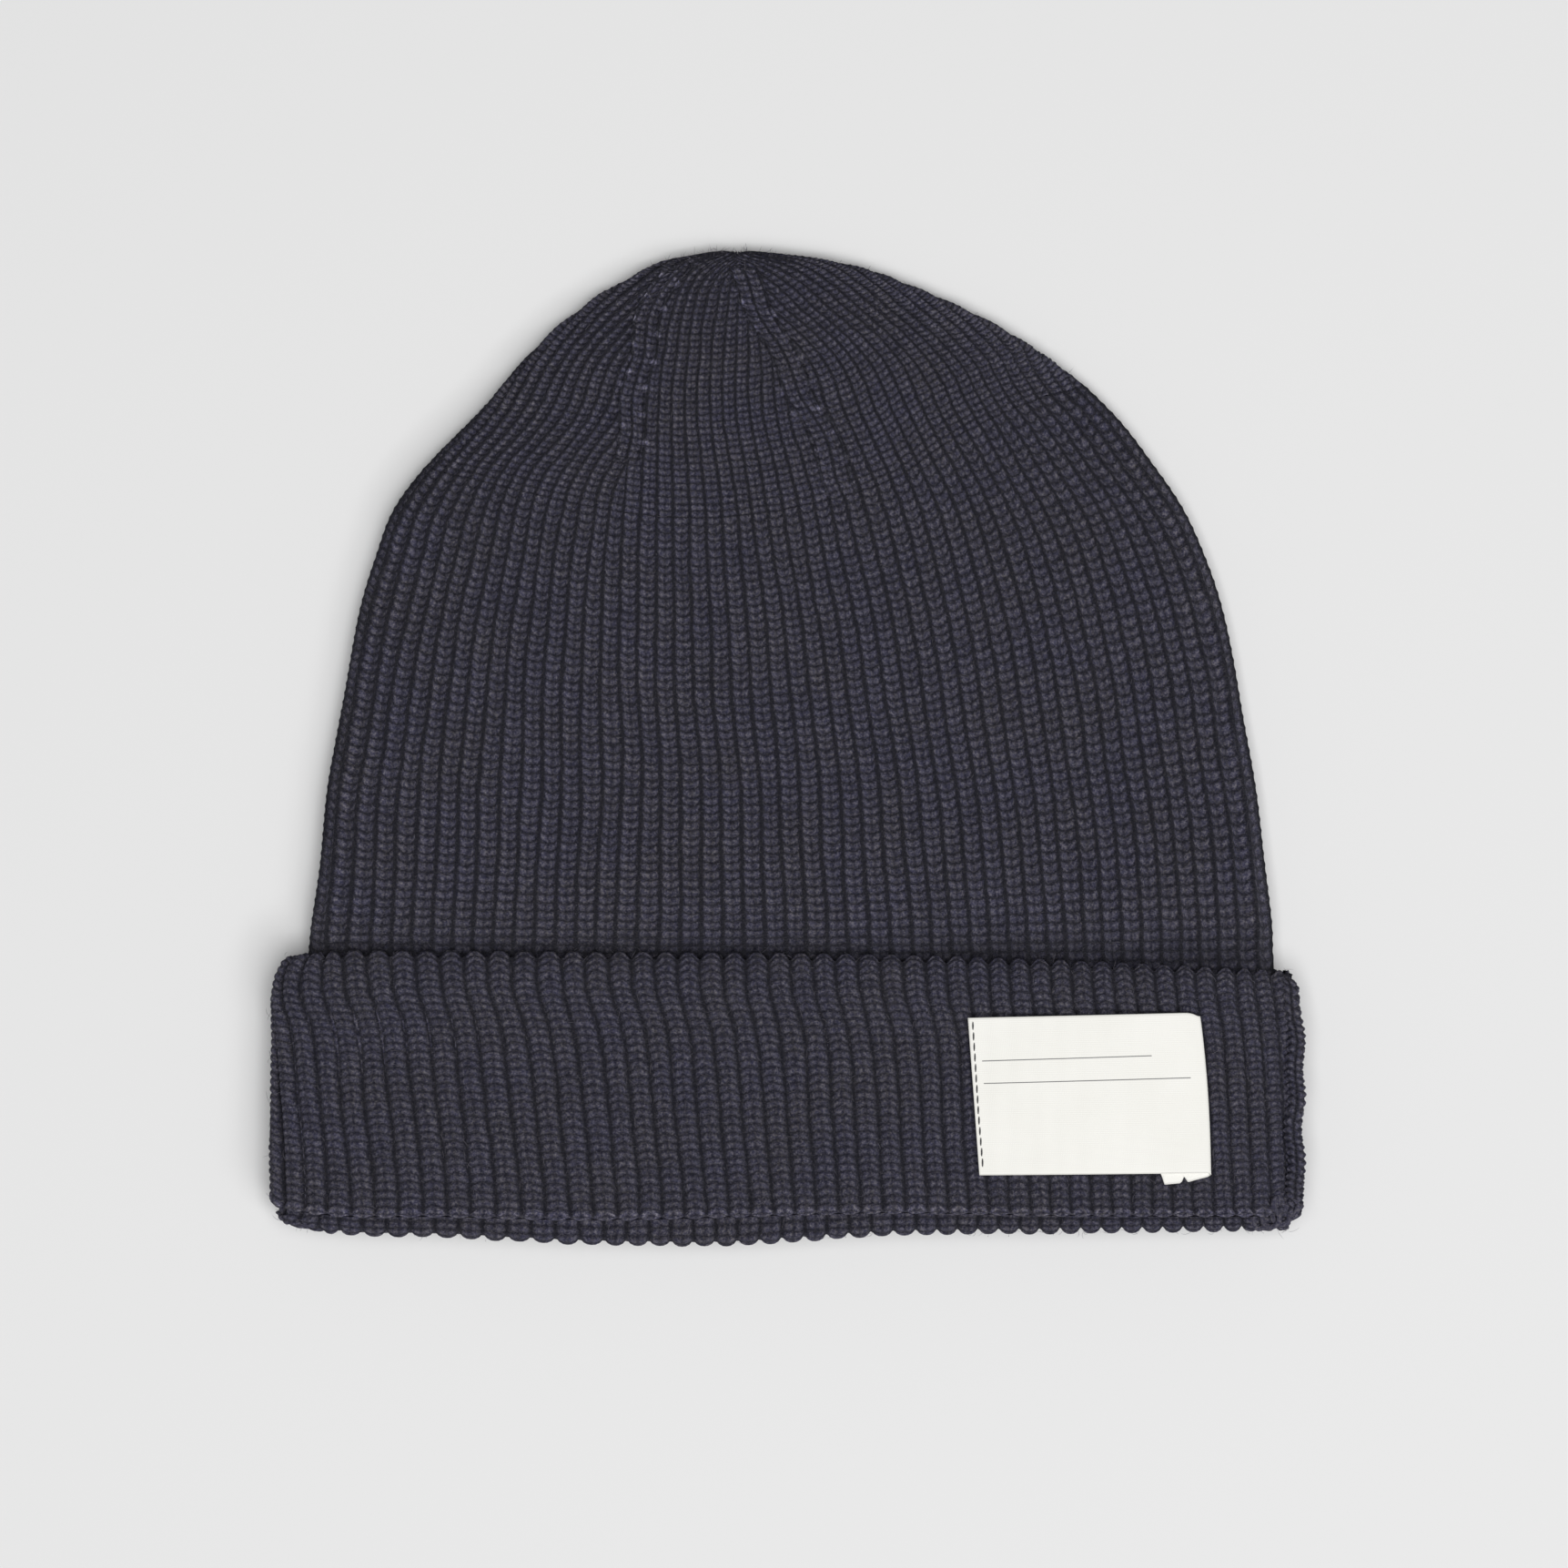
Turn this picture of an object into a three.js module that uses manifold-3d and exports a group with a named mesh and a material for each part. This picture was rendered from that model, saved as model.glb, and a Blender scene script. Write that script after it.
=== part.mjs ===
// Rib-knit watch cap with a turned-up cuff, lying flat on its back.
// Millimetres. +X across the cap, +Y from the mouth to the crown tip, +Z up from the surface it lies on.
import * as THREE from 'three';
import { mergeVertices } from 'three/addons/utils/BufferGeometryUtils.js';
import Module from 'manifold-3d';

const wasm = await Module();
wasm.setup();

// Driving dimensions
const RIBS_FRONT = 48;
const RIBS_AROUND = 2 * RIBS_FRONT;
const LEFT_GORE_RIBS = 15;
const MIDDLE_GORE_RIBS = 14;
const KNIT_WALL = 2.6;
const CLEARANCE = 0.3;
const BODY_RELIEF = 1.1;
const CUFF_RELIEF = 1.2;
const LIP_RELIEF = 0.6;
const BODY_JOIN_Y = -101.2;
const CUFF_HIGH = 24;
const CUFF_LOW = -0.4;
const CUFF_LEFT = -113.6;
const CUFF_RIGHT = 111.9;
const CUFF_BULGE = 3.6;
const RIB_PITCH = 5.07;
const SURFACE_Z = 0;

// The knitted pouch, a row for each section from the mouth to the tip.
// left and right: side edges; seamL and seamR: the two decrease lines on the front;
// low and high: back and front faces; dish: how far the middle of the front dips;
// bulge: squareness of the section; relief: share of the full rib depth.
const BODY_ROWS = named(
  ['y', 'left', 'seamL', 'seamR', 'right', 'low', 'high', 'dish', 'bulge', 'relief'],
  [-101.2, -107.6, -37.2, 28, 106.8, 4.7, 18.7, 0, 3.6, 1],
  [-52, -105.8, -37.2, 28, 106.6, 4.7, 18.7, 0, 3.6, 1],
  [-38, -103.8, -37.2, 27.4, 106.4, 3.6, 18.5, 0.4, 3.5, 1],
  [-10, -100.7, -36.2, 25.2, 103.3, 0.3, 17.8, 0.8, 3.4, 1],
  [20, -95.4, -36.4, 20.4, 97.8, -0.5, 17.1, 0.9, 3.3, 1],
  [48, -87.8, -35.4, 14.8, 89.2, -0.5, 16.2, 0.8, 3, 0.9],
  [61, -79.6, -35.2, 11.2, 81.2, -0.5, 15.5, 0.7, 2.9, 0.8],
  [73, -68.2, -33.8, 6.2, 72.4, -0.5, 14.4, 0.5, 2.8, 0.7],
  [86, -56.9, -31.8, -0.4, 57.2, -0.5, 12.8, 0.3, 2.7, 0.6],
  [96, -45.4, -29.4, -5.4, 40.8, -0.3, 11, 0.2, 2.5, 0.5],
  [104, -33.3, -25.8, -9.2, 21.6, 0.9, 9, 0, 2.3, 0.3],
  [108, -22.4, -18.4, -10.8, 3.4, 2.7, 6.9, 0, 2, 0],
);
const TIP = new THREE.Vector3(-10.8, 109.1, 4.7);
const HOLLOW_END_Y = 98;

// The lines along the cuff, a row for each place across the width.
// hem: bottom of the turn; castOn: bottom edge of the outer layer; top: the fold at the top.
const CUFF_LINES = named(
  ['x', 'hem', 'castOn', 'top'],
  [-107, -105.1, -101.8, -44.9],
  [-73, -107.3, -103.1, -45.2],
  [-40, -108.8, -103.7, -45.4],
  [-14, -108.9, -103.1, -45.5],
  [21, -106.8, -102.2, -45.8],
  [60, -106.3, -102.8, -46.6],
  [107, -106.1, -103.2, -48.9],
);

// The outside of the cuff, a row for each course of vertices from inside the mouth to the top fold.
// line and up: the line it follows and how far above it; sides and faces: how far inside the
// widest outline it lies; drift: how far its ribs have run to the right; relief: rib depth.
const CUFF_RINGS = named(
  ['line', 'up', 'sides', 'faces', 'drift', 'relief'],
  ['hem', 0, 7.4, 6.0, 6.2, LIP_RELIEF / 2],
  ['hem', 0.6, 4.4, 3.4, 6.2, LIP_RELIEF],
  ['castOn', -0.4, 3, 2.4, 6.2, LIP_RELIEF],
  ['castOn', 0, 0.2, 0.2, 6.2, CUFF_RELIEF],
  ['castOn', 24, 0.3, 0.1, 4.2, CUFF_RELIEF],
  ['top', -17, 0.3, 0.5, 3.2, CUFF_RELIEF],
  ['top', -9, 0, 0.1, 0.8, CUFF_RELIEF],
  ['top', -2.4, 1.6, 0.6, 0.2, CUFF_RELIEF],
  ['top', -0.3, 5.2, 2.4, 0, CUFF_RELIEF / 2],
  ['top', -1.6, 11, 7.4, 0, 0],
);

// Gives every row of a table the names of its columns.
function named(columns, ...rows) {
  return rows.map((row) => Object.fromEntries(columns.map((column, i) => [column, row[i]])));
}

// Value of a named column at a place along a table, straight between its rows.
function tableValue(rows, key, at, column) {
  let upper = rows.findIndex((row) => row[key] >= at);
  if (upper < 0) upper = rows.length - 1;
  if (upper === 0) upper = 1;
  const a = rows[upper - 1];
  const b = rows[upper];
  const share = THREE.MathUtils.clamp((at - a[key]) / (b[key] - a[key]), 0, 1);
  return THREE.MathUtils.lerp(a[column], b[column], share);
}

// The front half of a flat rounded section, from its left edge over the front to its right edge,
// as points with the distance run so far.
const CURVE_STEPS = 240;
function frontCurve(shape) {
  const middle = (shape.left + shape.right) / 2;
  const reach = (shape.right - shape.left) / 2;
  const rise = (shape.high - shape.low) / 2;
  const curve = [];
  let run = 0;
  for (let i = 0; i <= CURVE_STEPS; i++) {
    const turn = Math.PI * i / CURVE_STEPS;
    const across = -Math.sign(Math.cos(turn)) * Math.abs(Math.cos(turn)) ** (2 / shape.bulge);
    const up = Math.abs(Math.sin(turn)) ** (2 / shape.bulge);
    const point = { x: middle + reach * across, z: rise * up, across };
    if (i > 0) run += Math.hypot(point.x - curve[i - 1].x, point.z - curve[i - 1].z);
    curve.push({ ...point, run });
  }
  return curve;
}

// A point of the section at a distance along its front half, moved in from the face by inset.
function curvePoint(shape, curve, run, backFace, inset) {
  const last = curve.findIndex((point) => point.run >= run);
  const i = last < 1 ? (last < 0 ? CURVE_STEPS : 1) : last;
  const a = curve[i - 1];
  const b = curve[i];
  const share = (run - a.run) / Math.max(b.run - a.run, 1e-9);
  const step = new THREE.Vector2(b.x - a.x, b.z - a.z).normalize();
  const x = THREE.MathUtils.lerp(a.x, b.x, share) + step.y * inset;
  const z = THREE.MathUtils.lerp(a.z, b.z, share) - step.x * inset;
  const across = THREE.MathUtils.lerp(a.across, b.across, share);
  const dip = backFace ? 0 : shape.dish * (1 - across * across) ** 2;
  const middle = (shape.low + shape.high) / 2;
  return { x, z: middle + (backFace ? -z : z) - dip };
}

// Distance along the curve of a rib line: ribs are evenly spread within each gore.
function ribRun(shape, curve, rib) {
  const runAt = (x) => curve.find((point) => point.x >= x).run;
  const seamL = runAt(shape.seamL);
  const seamR = runAt(shape.seamR);
  const total = curve[CURVE_STEPS].run;
  const rightStart = LEFT_GORE_RIBS + MIDDLE_GORE_RIBS;
  if (rib <= LEFT_GORE_RIBS) return seamL * rib / LEFT_GORE_RIBS;
  if (rib <= rightStart) return seamL + (seamR - seamL) * (rib - LEFT_GORE_RIBS) / MIDDLE_GORE_RIBS;
  return seamR + (total - seamR) * (rib - rightStart) / (RIBS_FRONT - rightStart);
}

// One ring of points round the section. Rib 0 is at the left edge and the ribs run over the front
// to the right edge and back below. Grooves lie at whole rib numbers, crests half way between.
// Where the back lies on the surface, its ribs are pressed flat.
function ring(shape, perRib, options) {
  const { grow = 0, relief = 0, drift = 0, crestFirst = false, yAt } = options;
  const curve = frontCurve(shape);
  const points = [];
  for (let i = 0; i < RIBS_AROUND * perRib; i++) {
    let rib = (i / perRib + drift / RIB_PITCH) % RIBS_AROUND;
    if (crestFirst) rib = (rib + 0.5) % RIBS_AROUND;
    const backFace = rib > RIBS_FRONT;
    const run = ribRun(shape, curve, backFace ? RIBS_AROUND - rib : rib);
    const place = curvePoint(shape, curve, run, backFace, -grow);
    const pressedFlat = place.z < 0;
    if (perRib > 1 && i % 2 === 0 && !pressedFlat) {
      Object.assign(place, curvePoint(shape, curve, run, backFace, relief));
    }
    points.push(new THREE.Vector3(place.x, yAt(place.x), Math.max(place.z, SURFACE_Z)));
  }
  return points;
}

// A closed solid through rings of points, closed at each end on a middle point.
function loft(rings, firstPoint, lastPoint) {
  const count = rings[0].length;
  const positions = [];
  rings.flat().forEach((point) => positions.push(point.x, point.y, point.z));
  positions.push(...firstPoint.toArray(), ...lastPoint.toArray());
  const first = rings.length * count;
  const faces = [];
  for (let i = 0; i < count; i++) {
    const next = (i + 1) % count;
    faces.push(first, next, i);
    for (let k = 0; k < rings.length - 1; k++) {
      const a = k * count;
      const b = a + count;
      faces.push(a + i, a + next, b + next);
      faces.push(a + i, b + next, b + i);
    }
    const end = (rings.length - 1) * count;
    faces.push(first + 1, end + i, end + next);
  }
  const geometry = new THREE.BufferGeometry();
  geometry.setAttribute('position', new THREE.Float32BufferAttribute(positions, 3));
  geometry.setIndex(faces);
  return geometry;
}

function middleOf(points) {
  const sum = points.reduce((total, point) => total.add(point), new THREE.Vector3());
  return sum.divideScalar(points.length);
}

// A geometry's points and faces to a solid that can be joined and cut, and back again.
function toSolid(geometry) {
  const bare = geometry.clone();
  bare.deleteAttribute('normal');
  bare.deleteAttribute('uv');
  const merged = mergeVertices(bare, 1e-5);
  const vertProperties = new Float32Array(merged.attributes.position.array);
  const triVerts = new Uint32Array(merged.index.array);
  return new wasm.Manifold(new wasm.Mesh({ numProp: 3, vertProperties, triVerts }));
}

function fromSolid(solid) {
  const mesh = solid.getMesh();
  const geometry = new THREE.BufferGeometry();
  geometry.setAttribute('position', new THREE.Float32BufferAttribute(mesh.vertProperties, 3));
  geometry.setIndex(Array.from(mesh.triVerts));
  geometry.computeVertexNormals();
  return geometry;
}

// A section of the pouch at any height, between the rows of the table.
function bodyRow(y) {
  const row = { y };
  Object.keys(BODY_ROWS[0]).forEach((column) => {
    if (column !== 'y') row[column] = tableValue(BODY_ROWS, 'y', y, column);
  });
  return row;
}

// The hollow that a head goes into: each section with the knitted wall taken off all round.
function hollow(fromY, toY) {
  const rows = BODY_ROWS.filter((row) => row.y > fromY && row.y < toY);
  const rings = [bodyRow(fromY), ...rows, bodyRow(toY)].map((row) => {
    const shape = {
      ...row,
      left: row.left + KNIT_WALL,
      right: row.right - KNIT_WALL,
      low: row.low + KNIT_WALL,
      high: row.high - KNIT_WALL,
    };
    return ring(shape, 0.5, { yAt: () => row.y });
  });
  return toSolid(loft(rings, middleOf(rings[0]), middleOf(rings[rings.length - 1])));
}

// Crown: the knitted pouch from the mouth to the tip, with its hollow open at the mouth.
function crownGeometry() {
  const rings = BODY_ROWS.map((row) => ring(row, 2, {
    relief: BODY_RELIEF * row.relief,
    yAt: () => row.y,
  }));
  const outside = toSolid(loft(rings, middleOf(rings[0]), TIP));
  const inside = hollow(BODY_JOIN_Y - 5, HOLLOW_END_Y);
  return fromSolid(outside.subtract(inside));
}

// Cuff: the band turned up at the hem, folded at its top and brought down again to its
// cast-on edge. It turns in at the mouth to meet the pouch.
function cuffShape(sides, faces) {
  return {
    left: CUFF_LEFT + sides,
    right: CUFF_RIGHT - sides,
    seamL: -38.5,
    seamR: 30.5,
    low: CUFF_LOW + faces,
    high: CUFF_HIGH - faces,
    dish: 0,
    bulge: CUFF_BULGE,
  };
}

function cuffOutside(perRib, grow) {
  const rings = CUFF_RINGS.map((row) => ring(cuffShape(row.sides, row.faces), perRib, {
    grow,
    relief: row.relief,
    drift: row.drift,
    crestFirst: perRib === 1,
    yAt: (x) => tableValue(CUFF_LINES, 'x', x, row.line) + row.up,
  }));
  return toSolid(loft(rings, middleOf(rings[0]), middleOf(rings[rings.length - 1])));
}

function cuffGeometry() {
  const band = cuffOutside(2, 0);
  const bodyRows = BODY_ROWS.filter((row) => row.y > BODY_JOIN_Y && row.y < -20);
  const seatRows = [bodyRow(BODY_JOIN_Y), ...bodyRows];
  const seatRings = seatRows.map((row) => ring(row, 1, {
    grow: CLEARANCE,
    crestFirst: true,
    yAt: () => (row.y === BODY_JOIN_Y ? BODY_JOIN_Y - CLEARANCE : row.y),
  }));
  const seat = toSolid(loft(seatRings, middleOf(seatRings[0]), middleOf(seatRings[seatRings.length - 1])));
  const mouth = hollow(BODY_JOIN_Y - 20, BODY_JOIN_Y + 5);
  return fromSolid(band.subtract(seat).subtract(mouth));
}

// Side seam: the raised linked seam down the right edge of the cuff. A row for each section of the
// bead; out: how far its middle lies outside the cuff's edge; size: share of its full section.
const SEAM_RISE = 1.6;
const SEAM_HALF_WIDTH = 2.4;
const SEAM_SIDES = 12;
const SEAM_ROWS = named(
  ['y', 'out', 'height', 'size'],
  [-104.6, -2.8, 13.4, 0.7],
  [-102.8, -0.6, 14.0, 1],
  [-96, 0, 14.6, 1],
  [-80, 0, 14.8, 1],
  [-64, 0, 14.8, 1],
  [-54, -0.1, 14.4, 1],
  [-50.8, -1.0, 14.0, 0.9],
);

function sideSeamGeometry() {
  const rings = SEAM_ROWS.map((row) => {
    const points = [];
    for (let i = 0; i < SEAM_SIDES; i++) {
      const turn = 2 * Math.PI * i / SEAM_SIDES;
      const out = row.out + SEAM_RISE * row.size * Math.cos(turn);
      const along = SEAM_HALF_WIDTH * row.size * Math.sin(turn);
      points.push(new THREE.Vector3(CUFF_RIGHT + out, row.y, row.height - along));
    }
    return points;
  });
  const seam = toSolid(loft(rings, middleOf(rings[0]), middleOf(rings[rings.length - 1])));
  return fromSolid(seam.subtract(cuffOutside(1, CLEARANCE)));
}

// Label: a woven tape folded into a flat loop and sewn to the cuff along its left edge.
const LABEL_TAPE = 0.5;
const LABEL_LOOP_GAP = 0.45;
const LABEL_STEPS = 8;
const LABEL_TOP_EDGE = { left: [40.4, -59.5], right: [90.8, -58.6] };
const LABEL_BOTTOM_EDGE = { left: [42.8, -93.9], right: [93.2, -93.2] };
const LABEL_UNDER_DROP = { left: 0.2, right: 2.3 };

// Height of the cuff's front face at a place across the width.
function cuffFaceHeight(x) {
  const shape = cuffShape(0, 0);
  const reach = (shape.right - shape.left) / 2;
  const across = Math.abs(x - (shape.left + shape.right) / 2) / reach;
  const rise = (shape.high - shape.low) / 2;
  return (shape.high + shape.low) / 2 + rise * (1 - across ** shape.bulge) ** (1 / shape.bulge);
}

// One section across the tape: share of the way from the sewn edge to the fold, how far round the
// fold it is, from 0 on the upper layer to PI on the layer below, and how far its lower edge drops.
function labelRing(share, turn, drop) {
  const radius = (LABEL_TAPE + LABEL_LOOP_GAP) / 2;
  const edgePoint = (edge, fall, side) => {
    const start = new THREE.Vector2(...edge.left);
    const at = start.lerp(new THREE.Vector2(...edge.right), share);
    const distance = radius + side * LABEL_TAPE / 2;
    const z = cuffFaceHeight(at.x) + CLEARANCE + LABEL_TAPE / 2 + radius + distance * Math.cos(turn);
    return new THREE.Vector3(at.x + distance * Math.sin(turn), at.y - fall, z);
  };
  return [
    edgePoint(LABEL_TOP_EDGE, 0, -1),
    edgePoint(LABEL_TOP_EDGE, 0, 1),
    edgePoint(LABEL_BOTTOM_EDGE, drop, 1),
    edgePoint(LABEL_BOTTOM_EDGE, drop, -1),
  ];
}

function labelGeometry() {
  const rings = [];
  for (let i = 0; i <= LABEL_STEPS; i++) rings.push(labelRing(i / LABEL_STEPS, 0, 0));
  for (let i = 1; i <= 3; i++) rings.push(labelRing(1, Math.PI * i / 4, LABEL_UNDER_DROP.right * i / 4));
  for (let i = LABEL_STEPS; i >= 0; i--) {
    const share = i / LABEL_STEPS;
    const drop = THREE.MathUtils.lerp(LABEL_UNDER_DROP.left, LABEL_UNDER_DROP.right, share);
    rings.push(labelRing(share, Math.PI, drop));
  }
  return fromSolid(toSolid(loft(rings, middleOf(rings[0]), middleOf(rings[rings.length - 1]))));
}

const WOOL = { color: 0x343340, roughness: 0.95, metalness: 0 };
const TAPE = { color: 0xf4f3ed, roughness: 0.8, metalness: 0 };

function addPiece(group, name, geometry, finish) {
  const mesh = new THREE.Mesh(geometry, new THREE.MeshStandardMaterial(finish));
  mesh.name = name;
  group.add(mesh);
}

const group = new THREE.Group();
addPiece(group, 'crown', crownGeometry(), WOOL);
addPiece(group, 'cuff', cuffGeometry(), WOOL);
addPiece(group, 'side_seam', sideSeamGeometry(), WOOL);
addPiece(group, 'label', labelGeometry(), TAPE);

export default group;
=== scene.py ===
# Rib-knit watch cap lying flat on its back, crown tip away from the viewer, seen from straight above.
import math

import bmesh
import bpy
import numpy as np
from mathutils import Matrix, Vector


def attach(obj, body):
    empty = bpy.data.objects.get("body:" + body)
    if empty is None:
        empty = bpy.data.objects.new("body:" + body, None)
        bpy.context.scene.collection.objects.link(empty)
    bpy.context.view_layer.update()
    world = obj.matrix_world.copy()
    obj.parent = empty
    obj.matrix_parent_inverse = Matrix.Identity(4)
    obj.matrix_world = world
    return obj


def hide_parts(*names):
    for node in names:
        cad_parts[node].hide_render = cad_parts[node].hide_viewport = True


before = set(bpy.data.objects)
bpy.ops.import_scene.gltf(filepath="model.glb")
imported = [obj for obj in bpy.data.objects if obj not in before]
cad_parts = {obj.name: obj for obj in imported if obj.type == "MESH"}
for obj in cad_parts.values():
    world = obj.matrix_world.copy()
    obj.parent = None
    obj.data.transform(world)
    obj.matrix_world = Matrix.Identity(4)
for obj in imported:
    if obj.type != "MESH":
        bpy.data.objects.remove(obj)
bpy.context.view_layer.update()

# Table top, daylight and camera.
# The cap lies on a plain pale board, lit softly from the lower right as by a large window, and is
# photographed from straight above with a long lens.
MM = 0.001
BOARD_HALF_SIZE = 3.0
BOARD_GAP = 0.05 * MM
BOARD_GREY = 0.80


def finished_mesh(bm, name):
    """Makes a mesh of the bmesh and lets the bmesh go."""
    mesh = bpy.data.meshes.new(name)
    bm.to_mesh(mesh)
    bm.free()
    return mesh


def add_object(name, data):
    """Puts a mesh, a lamp or a camera in the scene."""
    thing = bpy.data.objects.new(name, data)
    bpy.context.scene.collection.objects.link(thing)
    return thing


def new_finish(name, roughness, specular):
    """A new material with its node tree and its shader."""
    finish = bpy.data.materials.new(name)
    finish.use_nodes = True
    shader = finish.node_tree.nodes["Principled BSDF"]
    shader.inputs["Roughness"].default_value = roughness
    shader.inputs["Specular IOR Level"].default_value = specular
    return finish, finish.node_tree, shader


bm = bmesh.new()
bmesh.ops.create_grid(bm, x_segments=1, y_segments=1, size=BOARD_HALF_SIZE)
bmesh.ops.translate(bm, verts=bm.verts, vec=(0, 0, -BOARD_GAP))
floor = add_object("floor", finished_mesh(bm, "floor"))
pale_board, _, board_shader = new_finish("pale_board", 0.9, 0.2)
board_shader.inputs["Base Color"].default_value = (BOARD_GREY, BOARD_GREY, BOARD_GREY, 1)
floor.data.materials.append(pale_board)


def add_window(name, size, power, place, look_at):
    """A soft square light at a place, facing a point."""
    lamp = bpy.data.lights.new(name, "AREA")
    lamp.shape = "SQUARE"
    lamp.size = size
    lamp.energy = power
    holder = add_object(name, lamp)
    holder.location = place
    aim = Vector(look_at) - Vector(place)
    holder.rotation_euler = aim.to_track_quat("-Z", "Y").to_euler()


CAP_MIDDLE = (0, -0.008, 0.012)
add_window("key_window", 1.35, 28.0, (1.25, -1.2, 2.85), CAP_MIDDLE)
add_window("ceiling_panel", 1.25, 42.5, (0.05, -0.24, 2.4), CAP_MIDDLE)
room = bpy.data.worlds.new("room")
room.use_nodes = True
room_light = room.node_tree.nodes["Background"]
room_light.inputs["Color"].default_value = (1.0, 1.0, 1.0, 1)
room_light.inputs["Strength"].default_value = 0.12
bpy.context.scene.world = room
bpy.context.scene.view_settings.view_transform = "Standard"

CAMERA_HEIGHT = 1.5
VIEW_WIDTH = 344.6 * MM
VIEW_MIDDLE = (-0.3 * MM, -7.9 * MM)
FRONT_FACE_HEIGHT = 17 * MM
SENSOR_WIDTH = 36
camera_data = bpy.data.cameras.new("camera")
camera_data.sensor_width = SENSOR_WIDTH
camera_data.lens = SENSOR_WIDTH * CAMERA_HEIGHT / VIEW_WIDTH
camera_data.clip_end = 20
camera = add_object("camera", camera_data)
camera.location = (*VIEW_MIDDLE, FRONT_FACE_HEIGHT + CAMERA_HEIGHT)
bpy.context.scene.camera = camera

# Crown, lower part: the knitted pouch from the hem up to where its courses get finer.
# Dark navy wool, knitted in one-and-one rib as one panel and linked down the right side. Inside the
# cuff it runs on, hidden, to the hem turn, and its inner wall is seen through the mouth.
RIBS_FRONT = 48
RIBS_AROUND = 2 * RIBS_FRONT
COLUMNS_PER_RIB = 6
LEFT_GORE_RIBS = 15
RIGHT_GORE_START = 29
KNIT_WALL = 2.6
SECTIONS = {
    name: np.array(values) for name, values in zip(
        ("y", "left", "seam_l", "seam_r", "right", "low", "high", "dish", "bulge"),
        zip(
            (-101.2, -107.6, -37.2, 28.0, 106.8, 4.7, 18.7, 0.0, 3.6),
            (-76.0, -107.2, -37.2, 28.0, 106.8, 4.7, 18.7, 0.0, 3.6),
            (-56.0, -104.8, -37.2, 28.0, 106.1, 4.7, 18.4, 0.0, 3.6),
            (-49.0, -103.8, -37.2, 28.0, 105.8, 4.6, 16.0, 0.0, 3.6),
            (-45.0, -103.1, -37.2, 27.8, 105.5, 4.3, 15.8, 0.0, 3.6),
            (-40.0, -102.4, -37.2, 27.5, 105.2, 3.8, 17.4, 0.2, 3.5),
            (-34.0, -101.5, -37.1, 27.2, 104.6, 3.2, 18.4, 0.4, 3.5),
            (-10.0, -99.2, -36.2, 25.2, 101.9, 0.4, 17.8, 0.8, 3.4),
            (20.0, -94.2, -36.4, 20.4, 97.1, -0.2, 17.1, 0.9, 3.3),
            (40.0, -89.2, -36.0, 16.6, 91.7, -0.2, 16.5, 0.9, 3.1),
            (52.0, -84.6, -35.4, 13.8, 86.0, -0.2, 16.0, 0.8, 3.0),
            (61.0, -78.0, -35.2, 11.2, 80.0, -0.2, 15.5, 0.7, 2.9),
            (73.0, -67.2, -33.8, 6.2, 71.2, -0.2, 14.4, 0.5, 2.8),
            (86.0, -55.9, -31.8, -0.4, 56.4, -0.2, 12.8, 0.3, 2.7),
            (96.0, -45.3, -29.4, -5.4, 39.5, -0.2, 11.0, 0.2, 2.5),
            (102.0, -36.4, -26.8, -8.2, 25.9, 0.6, 9.6, 0.1, 2.4),
            (105.4, -30.1, -24.0, -9.8, 16.7, 1.5, 8.6, 0.0, 2.3),
            (107.5, -25.1, -20.6, -10.6, 7.1, 2.5, 7.4, 0.0, 2.1),
            (108.5, -19.4, -17.0, -10.9, 0.0, 3.4, 6.4, 0.0, 2.0),
            (109.0, -16.4, -14.8, -10.8, -4.8, 4.2, 5.6, 0.0, 2.0),
            (109.2, -13.6, -12.8, -10.7, -7.8, 4.6, 5.1, 0.0, 2.0),
        )
    )
}


def smooth_value(table, key, at, column):
    """A named column's value along a table, on a smooth curve through its rows."""
    xs = table[key]
    ys = table[column]
    slopes = np.gradient(ys, xs)
    at = np.clip(at, xs[0], xs[-1])
    i = np.clip(np.searchsorted(xs, at) - 1, 0, len(xs) - 2)
    step = xs[i + 1] - xs[i]
    t = (at - xs[i]) / step
    start = ys[i] * (1 + 2 * t) * (1 - t) ** 2 + slopes[i] * step * t * (1 - t) ** 2
    end = ys[i + 1] * t ** 2 * (3 - 2 * t) + slopes[i + 1] * step * t ** 2 * (t - 1)
    return start + end


def section_points(shape, ribs):
    """The x and z of rib lines round one flat rounded section: from the left edge over the front
    to the right edge and back below, ribs evenly spread within each gore."""
    turn = np.linspace(0, math.pi, 721)
    across = -np.sign(np.cos(turn)) * np.abs(np.cos(turn)) ** (2 / shape["bulge"])
    middle = (shape["left"] + shape["right"]) / 2
    x = middle + (shape["right"] - shape["left"]) / 2 * across
    z = (shape["high"] - shape["low"]) / 2 * np.sin(turn) ** (2 / shape["bulge"])
    run = np.concatenate(([0], np.cumsum(np.hypot(np.diff(x), np.diff(z)))))
    gore_runs = np.interp([shape["left"], shape["seam_l"], shape["seam_r"], shape["right"]], x, run)
    gore_ribs = [0, LEFT_GORE_RIBS, RIGHT_GORE_START, RIBS_FRONT]
    behind = ribs > RIBS_FRONT
    at = np.interp(np.where(behind, RIBS_AROUND - ribs, ribs), gore_ribs, gore_runs)
    rise = np.interp(at, run, z)
    dip = shape["dish"] * (1 - np.interp(at, run, across) ** 2) ** 2
    height = (shape["low"] + shape["high"]) / 2 + np.where(behind, -rise, rise - dip)
    return np.interp(at, run, x), height


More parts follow.
